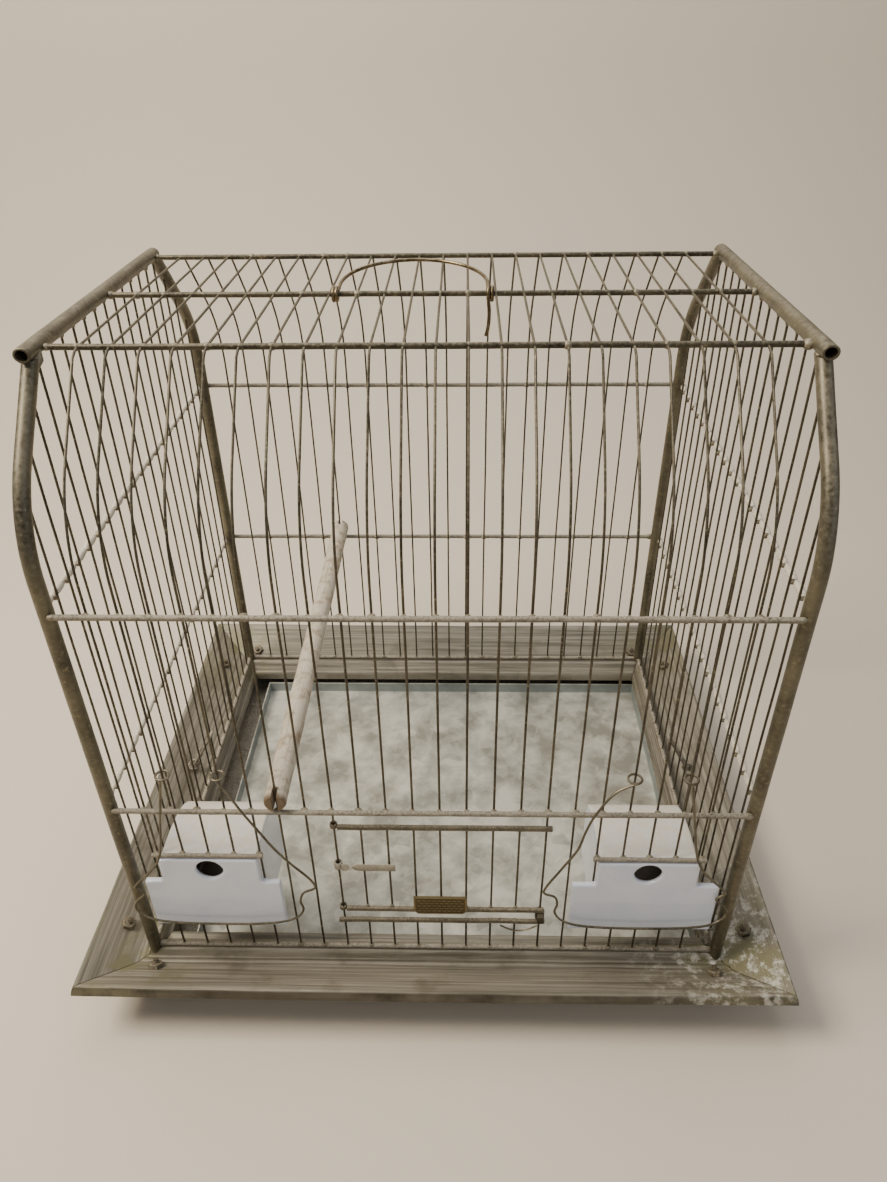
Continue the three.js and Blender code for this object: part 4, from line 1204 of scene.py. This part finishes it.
for label, side in (("left", -1), ("right", 1)):
    foot = Vector((side * (cage["halfWidth"] + clip["out"]), clip["y"], onSlope(clip["out"])))
    upright = Vector((-side * math.sin(slope), 0, math.cos(slope)))
    eyeMiddle = foot + upright * clip["lift"]
    sideways = Vector((math.cos(slope), 0, side * math.sin(slope)))
    shank = [tuple(foot - upright * 5), tuple(foot + upright * 3.9)]
    eyePath = ringPath(eyeMiddle, clip["ring"], sideways, upright)
    ring = wires(f"eye_ring_{label}", [eyePath], clip["wire"], dustyRod, sides=12, step=0.9, kink=0.0)
    stem = wires(f"eye_stem_{label}", [shank], 1.5, dustyRod, sides=12, step=1.0, kink=0.0)
    collarSpot = spotMesh("collar", [(tuple(foot), (0, -side * slope, 0), (1, 1, 1))])
    eyePiece = joined(
        f"clip_eye_{label}", [ring, stem, grown(f"eye_collar_{label}", nutTree, collarSpot, collarSizes)],
    )
    dress(eyePiece, dustyRod, "cage", "dusty_rod", f"side_eye_{label}", smoothBelow=35)

    # the clip is drawn upright, then leaned in against the wall about the eye
    lean = Matrix.Rotation(math.radians(-side * clip["lean"]), 3, "Y")
    half, length = clip["half"], clip["length"]
    loop = []
    for middle, start in ((length - half, 0.0), (half, math.pi)):
        for step in range(13):
            angle = start + math.pi * step / 12
            loop.append(Vector((0, half * math.cos(angle), middle + half * math.sin(angle))))
    loop.append(loop[0])
    steps = clip["turns"] * 16
    binding = []
    for step in range(steps + 1):
        angle = 2 * math.pi * step / 16
        rise = clip["binding"] - 1.6 + clip["bindingTall"] * step / steps
        binding.append(Vector((1.6 * math.cos(angle), (half + 1.1) * math.sin(angle), rise)))
    placed = [[tuple(lean @ p + eyeMiddle) for p in path] for path in (loop, binding)]
    dress(joined(f"clip_loop_{label}", [
        wires(f"loop_{label}", placed[:1], clip["wire"], dustyRod, sides=12, step=1.2, kink=0.3, seed=19),
        wires(f"binding_{label}", placed[1:], 0.6, dustyRod, sides=8, step=0.8, kink=0.0, seed=20),
    ]), dustyRod, f"clip_{label}", "dusty_rod", f"side_clip_{label}")

# Door
hinge = door["guides"][0]
skins = []
for level, over, seed in ((door["top"], 3.0, 7.0), (door["bottom"], 1.2, 9.0)):
    ends = (level - door["tall"], level + door["tall"])
    skins.append((stripRings((hinge + 2.2, door["guides"][1] + over), level, *doorStrip, seed), False))
    skins.append((sleeveRings(hinge, *ends, door["knuckle"], door["bore"]), True))
dress(lofted("door_rails", *skins), grimyRail, "door", "aged_brass", "door_panel", smoothBelow=50)
doorBars = [
    [
        (barX(i), -cage["halfDepth"], door["bottom"]), (barX(i), -cage["halfDepth"], door["top"]),
    ] for i in range(-3, 4)
]
strung("door_bars", doorBars, cage["wire"], agedBrassWire, "door", "aged_brass", kink=0.5, seed=21)
doorBeads = [
    ((barX(i), -143.2, level), (0, 0, 0), (1.5, 1.0, 1.2))
    for i in range(-3, 4) for level in (door["bottom"] + 1.6, door["top"] - 1.6)
]
dress(grown("door_solder", beadTree, spotMesh("door_solder", doorBeads), {
    "Seed": 22, "Spread": 0.25, "Material": solderMetal,
}), solderMetal, "door", "aged_brass", smoothBelow=80)

# Strap: a tin strip rolled round the left guide wire and given a half twist before it lies flat on the bars
strap = {"tall": 5.4, "thick": 0.7, "twistFrom": -50.0, "twistTo": -41.0}
rings = []
stations = 60
for station in range(stations + 1):
    x = hinge + 2.0 + (door["strapEnd"] - hinge - 2.0) * station / stations
    share = min(1.0, max(0.0, (x - strap["twistFrom"]) / (strap["twistTo"] - strap["twistFrom"])))
    angle = math.pi * (1 - share * share * (3 - 2 * share))
    halfTall = strap["tall"] / 2 * (0.62 + 0.38 * abs(math.cos(angle)))
    lift = 0.5 * noise.noise(Vector((x / 9, 2.0, 0)))
    outline = []
    for y, z in (
        (
            -0.5, -0.92,
        ), (-0.35, -1), (0.35, -1), (0.5, -0.92), (0.5, 0.92), (0.35, 1), (-0.35, 1), (-0.5, 0.92),
        (-0.3, 0.0),
    ):
        dy, dz = y * strap["thick"], z * halfTall
        outline.append(at(
            x, -144.7 + dy * math.cos(angle) - dz * math.sin(angle) * 0.35,
            door["strap"] + lift + dy * math.sin(angle) + dz * math.cos(angle),
        ))
    rings.append(outline)
roll = sleeveRings(hinge, door["strap"] - 2.4, door["strap"] + 2.4, 2.4, 1.6)
strapPiece = lofted("door_strap_twisted", (rings, False), (roll, True))
dress(strapPiece, tinStrip, "door", "dusty_rod", "door_strap", smoothBelow=45)

# Plate: stamped with a raised rim and rows of plain short ribs
plate = {
    "middle": (5.0, 78.5), "half": (15.5, 7.6), "back": -145.5, "face": -146.5, "rim": 1.1, "relief": 0.35,
    "rows": 5, "ribs": 9,
}


def platePatch(shape, half, centre, back, face, cut):
    # a flat block facing the front, its lower corners cut off and its face edge eased
    (wide, tall), (x, z) = half, centre
    corners = [
        (-wide + cut, -tall), (wide - cut, -tall), (wide, -tall + cut), (wide, tall), (-wide, tall),
        (-wide, -tall + cut),
    ]
    loftRings(shape, [
        [at(x + a * (1 - ease / wide), y, z + b * (1 - ease / tall)) for a, b in corners]
        for y, ease in ((back, 0), (face + 0.2, 0), (face, 0.25))
    ])


shape = bmesh.new()
platePatch(shape, plate["half"], plate["middle"], plate["back"], plate["face"] + 0.25, 2.0)
rimX, rimZ = plate["half"][0] - plate["rim"] / 2, plate["half"][1] - plate["rim"] / 2
halfRim = plate["rim"] / 2
for dx, dz, wide, tall in (
    (0, rimZ, rimX, halfRim), (0, -rimZ, rimX - 1.6, halfRim), (rimX, 0.8, halfRim, rimZ - 1.2),
    (-rimX, 0.8, halfRim, rimZ - 1.2),
):
    centre = (plate["middle"][0] + dx, plate["middle"][1] + dz)
    platePatch(shape, (wide, tall), centre, plate["face"] + 0.3, plate["face"] - plate["relief"] + 0.1, 0.05)
for row in range(plate["rows"]):
    z = plate["middle"][1] + (row - (plate["rows"] - 1) / 2) * 2.3
    for rib in range(plate["ribs"]):
        x = plate["middle"][0] + (rib - (plate["ribs"] - 1) / 2) * 2.9 + (0.7 if row % 2 else -0.7)
        platePatch(
            shape, (1.1, 0.55), (x, z), plate["face"] + 0.3, plate["face"] - plate["relief"] + 0.15, 0.2,
        )
bmesh.ops.recalc_face_normals(shape, faces=shape.faces)
dress(
    fromBmesh("door_plate_stamped", shape), stampedBronze, "door", "dark_bronze", "door_plate",
    smoothBelow=20,
)

# Latch: a sleeve on the right guide wire with a small thumb tab
latchFoot, latchTop = 63.6, 69.9
sleeve = lofted(
    "latch_sleeve", (sleeveRings(door["guides"][1], latchFoot, latchTop, 2.8, 1.6, sides=24), True),
)
shape = bmesh.new()
boxShape(shape, (door["guides"][1] - 1.8, -147.7, latchFoot), (door["guides"][1] + 1.8, -144.4, latchTop))
bmesh.ops.bevel(shape, geom=shape.edges[:], offset=0.0007, segments=3, profile=0.5, affect="EDGES")
latchPiece = joined("door_latch_turned", [sleeve, fromBmesh("latch_thumb", shape)])
dress(latchPiece, darkIron, "latch", "dark_bronze", "door_latch")
print("door done")

# Feeders: stepped glass front with a hooded cup behind, pressed in one piece
feeder = {
    "front": -147.6, "plateBack": -143.9, "bottom": 59.5, "shoulder": 99.5, "top": 118.2, "lowerHalf": {
        "left": 39.0, "right": 41.5,
    },
    "upperHalf": 28.2, "cupHalf": 27.2, "cupBack": -90.0, "wall": 3.0, "hole": (109.8, 7.5), "mouth": (
        18.0, 77.0, 101.0,
    ),
    "voxel": 0.9, "hoodTall": 20.0, "hoodReach": 40.0, "frontWall": 2.8,
}


def cupOutline(inset, steps=20):
    # the cup from the side, as (y, z): flat back and bottom, round hood; the hollow runs on to a thin front
    front, back = feeder["plateBack"] - 0.1, feeder["cupBack"] - inset
    bottom, hood = feeder["bottom"] + inset, feeder["top"] - inset
    hoodBack = feeder["top"] - feeder["hoodTall"] - inset
    outline = [(front, bottom), (back, bottom), (back, hoodBack)]
    reach = feeder["hoodReach"] - 2 * inset
    if inset:
        outline[0] = (feeder["front"] + feeder["frontWall"], bottom)
        front = outline[0][0]
    for step in range(1, steps + 1):
        angle = math.pi / 2 * step / steps
        outline.append((back - reach * (1 - math.cos(angle)), hoodBack + (hood - hoodBack) * math.sin(angle)))
    return outline + [(front, hood)]


def cupSolid(name, middle, halfAcross, inset):
    rings = [[at(middle + x, y, z) for y, z in cupOutline(inset)] for x in (-halfAcross, halfAcross)]
    return lofted(name, (rings, False))


def boxSolid(name, low, high):
    shape = bmesh.new()
    boxShape(shape, low, high)
    return fromBmesh(name, shape)


def carved(piece, tools):
    # joins and cuts in the order given, then throws the tools away
    for operation, tool in tools:
        modifier = piece.modifiers.new("carve", "BOOLEAN")
        modifier.operation = operation
        modifier.solver = "EXACT"
        modifier.object = tool
    applied(piece)
    for _, tool in tools:
        bpy.data.objects.remove(tool)
    return piece


for label, index in (("left", cage["feeders"][0]), ("right", cage["feeders"][1])):
    x = barX(index)
    f = feeder
    half = f["lowerHalf"][label]
    solid = boxSolid(
        f"glass_feeder_{label}", (x - half, f["front"], f["bottom"]), (
            x + half, f["plateBack"], f["shoulder"],
        ),
    )
    holeLevel, holeRadius = f["hole"]
    holeRings = [
        circlePoints(
            at(
                x, f["front"] + 5.5 + y, holeLevel,
            ), holeRadius / 1000, 40, Vector((1, 0, 0)), Vector((0, 0, 1)),
        ) for y in (-8, 8)
    ]
    mouthHalf, mouthFoot, mouthTop = f["mouth"]
    upper = (
        x - f["upperHalf"], f["front"], f["shoulder"] - 1,
    ), (x + f["upperHalf"], f["plateBack"], f["top"])
    mouth = (x - mouthHalf, f["cupBack"] - 8, mouthFoot), (x + mouthHalf, f["cupBack"] + 8, mouthTop)
    carved(solid, [
        ("UNION", boxSolid("upper", *upper)),
        ("UNION", cupSolid("cup", x, f["cupHalf"], 0)),
        ("DIFFERENCE", cupSolid("hollow", x, f["cupHalf"] - f["wall"], f["wall"])),
        ("DIFFERENCE", lofted("hole", (holeRings, False))),
        ("DIFFERENCE", boxSolid("mouth", *mouth)),
    ])
    remesh = solid.modifiers.new("press", "REMESH")
    remesh.mode = "VOXEL"
    remesh.voxel_size = f["voxel"] / 1000
    smooth = solid.modifiers.new("firepolish", "SMOOTH")
    smooth.factor = 0.5
    smooth.iterations = 7
    applied(solid)
    inside = solid.data.attributes.new("inside", "FLOAT", "POINT")
    hollow = (f["cupHalf"] - f["wall"] + 1.4, 27.4, 28.0)
    hoodMiddle = Vector((f["cupBack"] - f["hoodReach"] + f["wall"], f["top"] - f["hoodTall"] - f["wall"]))
    values = []
    for vertex in solid.data.vertices:
        spot = vertex.co * 1000
        away = [abs(c) for c in spot - Vector((x, -118.0, 89.0))]
        near = min(h - a for h, a in zip(hollow, away))
        arc = Vector((spot.y - hoodMiddle.x, spot.z - hoodMiddle.y))
        if arc.x > 0 and arc.y > 0:
            share = Vector((arc.x / (f["hoodReach"] - 2 * f["wall"]), arc.y / f["hoodTall"])).length
            near = min(near, (1 - share) * f["hoodTall"] + 1.2)
        values.append(min(1.0, max(0.0, near + 0.4)))
    inside.data.foreach_set("value", values)
    dress(solid, milkGlass, f"feeder_{label}", "milk_glass", f"feeder_{label}", smoothBelow=75)
print("feeders done")

# Bails: spring wire hung by two eyes and bent round the front of each feeder
bail = {
    "wire": 0.7, "level": 180.0, "plane": 149.3, "eyeFront": 146.1, "bow": 2.0, "eye": 3.6,
    "doorSide": {
        "left": [
            (14.5, 155), (20, 147), (26, 135), (33, 120), (39, 107), (47, 94), (58, 78), (59, 72.5),
            (52, 68),
        ],
        "right": [
            (14.5, 155), (24, 150), (34, 135), (38, 122), (41, 108), (49, 91), (57, 74), (57.5, 70),
            (51, 66.5),
        ],
    },
    "loop": [(49.5, 60), (50.5, 53), (47, 47), (38, 43.5), (0, 41), (-38, 44), (-46, 48), (-48, 54)],
    "outerSide": [
        (-45, 60), (-40, 66), (-44.5, 71), (-43, 74), (-27, 94), (-18.5, 130), (-15.5, 147), (-14.5, 155),
    ],
}


def smoothStep(value, low, high):
    share = min(1.0, max(0.0, (value - low) / (high - low)))
    return share * share * (3 - 2 * share)


for label, index, doorward in (("left", cage["feeders"][0], 1), ("right", cage["feeders"][1], -1)):
    points = []
    for across, height in bail["doorSide"][label] + bail["loop"] + bail["outerSide"]:
        bowed = bail["plane"] + bail["bow"] * smoothStep(50 - height, 0, 8)
        out = bowed + (bail["eyeFront"] - bowed) * smoothStep(height, 140, 155)
        points.append(Vector((barX(index) + doorward * across, -out, cage["foot"] + height)))
    paths = [[tuple(p) for p in curveThrough(points, 6)]]
    for eyeBar in (index - 1, index + 1):
        paths.append(
            ringPath((barX(eyeBar), -cage["halfDepth"], bail["level"]), bail["eye"], (1, 0, 0), (0, 1, 0)),
        )
    strung(
        f"bail_{label}", paths, bail["wire"], springWire, f"bail_{label}", "spring_wire",
        f"feeder_bail_{label}",
        sides=8, step=1.5, kink=0.25, unevenness=0.06, seed=24,
    )

# Handle: a wire arch hung on the roof's middle rod
handle = {"eyes": (-48.5, 30.5), "eye": 3.2, "leg": 14.0, "rise": 40.0, "rest": 5.0, "wire": 1.0}
tilt = Matrix.Rotation(math.radians(handle["rest"]), 3, "X")
span = (handle["eyes"][1] - handle["eyes"][0]) / 2
centreX = sum(handle["eyes"]) / 2
roofPlace = Vector((0, 0, cage["roof"]))
arch = [Vector((handle["eyes"][0], handle["eye"], 0))]
for step in range(33):
    angle = math.pi * step / 32
    arch.append(
        Vector((centreX - span * math.cos(angle), handle["leg"] + handle["rise"] * math.sin(angle), 0)),
    )
arch.append(Vector((handle["eyes"][1], handle["eye"], 0)))
tail = [(30.5, 0, -3.2), (31.1, -0.6, -10), (30.5, -1.5, -18), (29.5, -1, -22)]
paths = [
    [tuple(tilt @ p + roofPlace) for p in arch],
    [tuple(Vector(p) + roofPlace) for p in curveThrough([Vector(p) for p in tail], 5)],
]
for x in handle["eyes"]:
    beside = (x + math.copysign(1.9, x), 0.3, cage["roof"] - 0.2)
    for middle, radius in (((x, 0, cage["roof"]), handle["eye"]), (beside, handle["eye"] + 0.1)):
        paths.append(ringPath(middle, radius, (0, 1, 0), (0, 0, 1)))
strung(
    "handle_arch", paths, handle["wire"], handleBrass, "handle", "bright_brass", "handle",
    sides=10, step=1.5, kink=0.5, unevenness=0.08, seed=25,
)

# Perch: a turned dowel, notched at both ends to straddle a wire
low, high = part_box("perch")
perch = {
    "radius": 6.35, "half": 147.5, "notch": 7.0, "notchHalf": 1.5, "sides": 44, "stations": 170,
}
perchX, perchZ = 500 * (low.x + high.x), 500 * (low.z + high.z)
rings = []
for station in range(perch["stations"] + 1):
    y = perch["half"] * (2 * station / perch["stations"] - 1)
    toEnd = perch["half"] - abs(y)
    ease = 1 - 0.12 * max(0.0, 1 - toEnd / 1.2)
    points = []
    for side in range(perch["sides"]):
        angle = 2 * math.pi * side / perch["sides"]
        grain = 0.10 * noise.noise(Vector((2.4 * math.cos(angle) * 3, y / 24, 2.4 * math.sin(angle) * 3)))
        hollows = 0.22 * noise.noise(Vector((math.cos(angle), y / 19, math.sin(angle) + 7)))
        chewed = 0.5 * max(0.0, 1 - toEnd / 4) * noise.noise(
            Vector((math.cos(angle) * 4, y / 2, math.sin(angle) * 4)),
        )
        radius = (perch["radius"] - 0.22 + grain + hollows + chewed) * ease
        points.append(at(perchX + radius * math.cos(angle), y, perchZ + radius * math.sin(angle)))
    rings.append(points)
dowel = lofted("perch_dowel", (rings, False))
notches = []
for end in (-1, 1):
    near, far = sorted((end * (perch["half"] - perch["notch"]), end * (perch["half"] + 5)))
    corners = [(perchX + s * perch["notchHalf"], y, perchZ + s * 10) for s, y in ((-1, near), (1, far))]
    notches.append(("DIFFERENCE", boxSolid("notch", *corners)))
dress(carved(dowel, notches), perchWood, "perch", "raw_wood", "perch", smoothBelow=50)

# Tray: a pan with folded walls, a flat front and a finger lip, its floor a little out of flat
tray = {
    "low": (
        -155.0, -151.5,
    ), "high": (168.0, 128.0), "foot": 4.5, "floor": 6.0, "rim": 15.5, "wall": 1.2, "perSide": 28,
    "front": (
        (-165.0, -152.0, 3.0), (178.0, -150.4, 20.0),
    ), "lip": ((-60.0, -158.0, 3.0), (60.0, -151.5, 4.6)),
    "floorWave": 0.35, "steps": 14,
}


def panRing(inset, level):
    # once round the pan at an equal distance in from its outside
    west, south = [edge + inset for edge in tray["low"]]
    east, north = [edge - inset for edge in tray["high"]]
    corners = [Vector(c) for c in ((west, south), (east, south), (east, north), (west, north))]
    ring = []
    for start, end in zip(corners, corners[1:] + corners[:1]):
        for step in range(tray["perSide"]):
            x, y = start.lerp(end, step / tray["perSide"])
            wave = tray["floorWave"] * min(1.0, inset / 30) * noise.noise(Vector((x / 60, y / 60, 4)))
            ring.append(at(x, y, level + (wave if inset > 3 else 0)))
    return ring


panStops = [
    (1.0, tray["foot"]), (0.3, tray["foot"] + 0.3), (0.0, tray["foot"] + 1.0), (0.0, tray["rim"] - 0.4),
]
panStops += [(0.3, tray["rim"]), (0.9, tray["rim"]), (tray["wall"], tray["rim"] - 0.4)]
panStops += [(tray["wall"], tray["floor"] + 1.2), (1.6, tray["floor"] + 0.4), (2.6, tray["floor"])]
deepest = (tray["high"][1] - tray["low"][1]) / 2 - 1
panStops += [(2.6 + (deepest - 2.6) * k / tray["steps"], tray["floor"]) for k in range(1, tray["steps"] + 1)]
shape = bmesh.new()
loftRings(shape, [panRing(inset, level) for inset, level in panStops])
panParts = [fromBmesh("pan", shape)]
for label in ("front", "lip"):
    shape = bmesh.new()
    boxShape(shape, *tray[label])
    bmesh.ops.bevel(shape, geom=shape.edges[:], offset=0.0006, segments=3, profile=0.5, affect="EDGES")
    panParts.append(fromBmesh(label, shape))
trayPan = joined("tray_pan", panParts)
shape = bmesh.new()
shape.from_mesh(trayPan.data)
bmesh.ops.recalc_face_normals(shape, faces=shape.faces)
shape.to_mesh(trayPan.data)
shape.free()
dress(trayPan, galvanisedPan, "tray", "galvanised_sheet", "tray", smoothBelow=35)
print("handle, perch and tray done")

# Floor, backdrop and light
studio = {"floor": "#d9cfbf", "wall": 0.85, "width": 4.0, "bend": 0.45}
sweep = bmesh.new()
rows = []
profile = [(-1.6, 0.0), (studio["wall"] - studio["bend"], 0.0)]
for step in range(1, 13):
    angle = math.pi / 2 * step / 12
    profile.append(
        (studio["wall"] - studio["bend"] * (1 - math.sin(angle)), studio["bend"] * (1 - math.cos(angle))),
    )
profile.append((studio["wall"], 2.4))
for y, z in profile:
    rows.append([sweep.verts.new((x * studio["width"] / 2, y, z)) for x in (-1, 1)])
for here, there in zip(rows, rows[1:]):
    sweep.faces.new((here[0], here[1], there[1], there[0]))
backdrop = fromBmesh("backdrop", sweep)
paper, tree, *_ = newMaterial("matPaperSweep")
paperShader = addNode(
    tree, "ShaderNodeBsdfPrincipled", {"Base Color": linearColour(studio["floor"]), "Roughness": 0.9},
)
addNode(tree, "ShaderNodeOutputMaterial", {"Surface": paperShader.outputs[0]})
backdrop.data.materials.append(paper)
backdrop.data.shade_smooth()

world = bpy.data.worlds.new("studio")
scene.world = world
world.use_nodes = True
world.node_tree.nodes["Background"].inputs["Color"].default_value = linearColour("#cfcdca")
world.node_tree.nodes["Background"].inputs["Strength"].default_value = 0.28
lights = {
    "key": {"from": (-850, -250, 1250), "to": (0, 0, 120), "size": 0.55, "power": 25, "colour": "#fff3e0"},
    "fill": {"from": (1000, -700, 800), "to": (0, 0, 150), "size": 1.2, "power": 4, "colour": "#e6ebf5"},
    "top": {"from": (-100, 350, 1300), "to": (0, 0, 200), "size": 0.9, "power": 6, "colour": "#ffffff"},
}
for name, setup in lights.items():
    lamp = bpy.data.lights.new(name, "AREA")
    lamp.size = setup["size"]
    lamp.energy = setup["power"]
    lamp.color = linearColour(setup["colour"])[:3]
    holder = bpy.data.objects.new(name, lamp)
    holder.location = at(*setup["from"])
    holder.rotation_euler = (at(*setup["to"]) - holder.location).to_track_quat("-Z", "Y").to_euler()
    scene.collection.objects.link(holder)

bpy.context.view_layer.update()
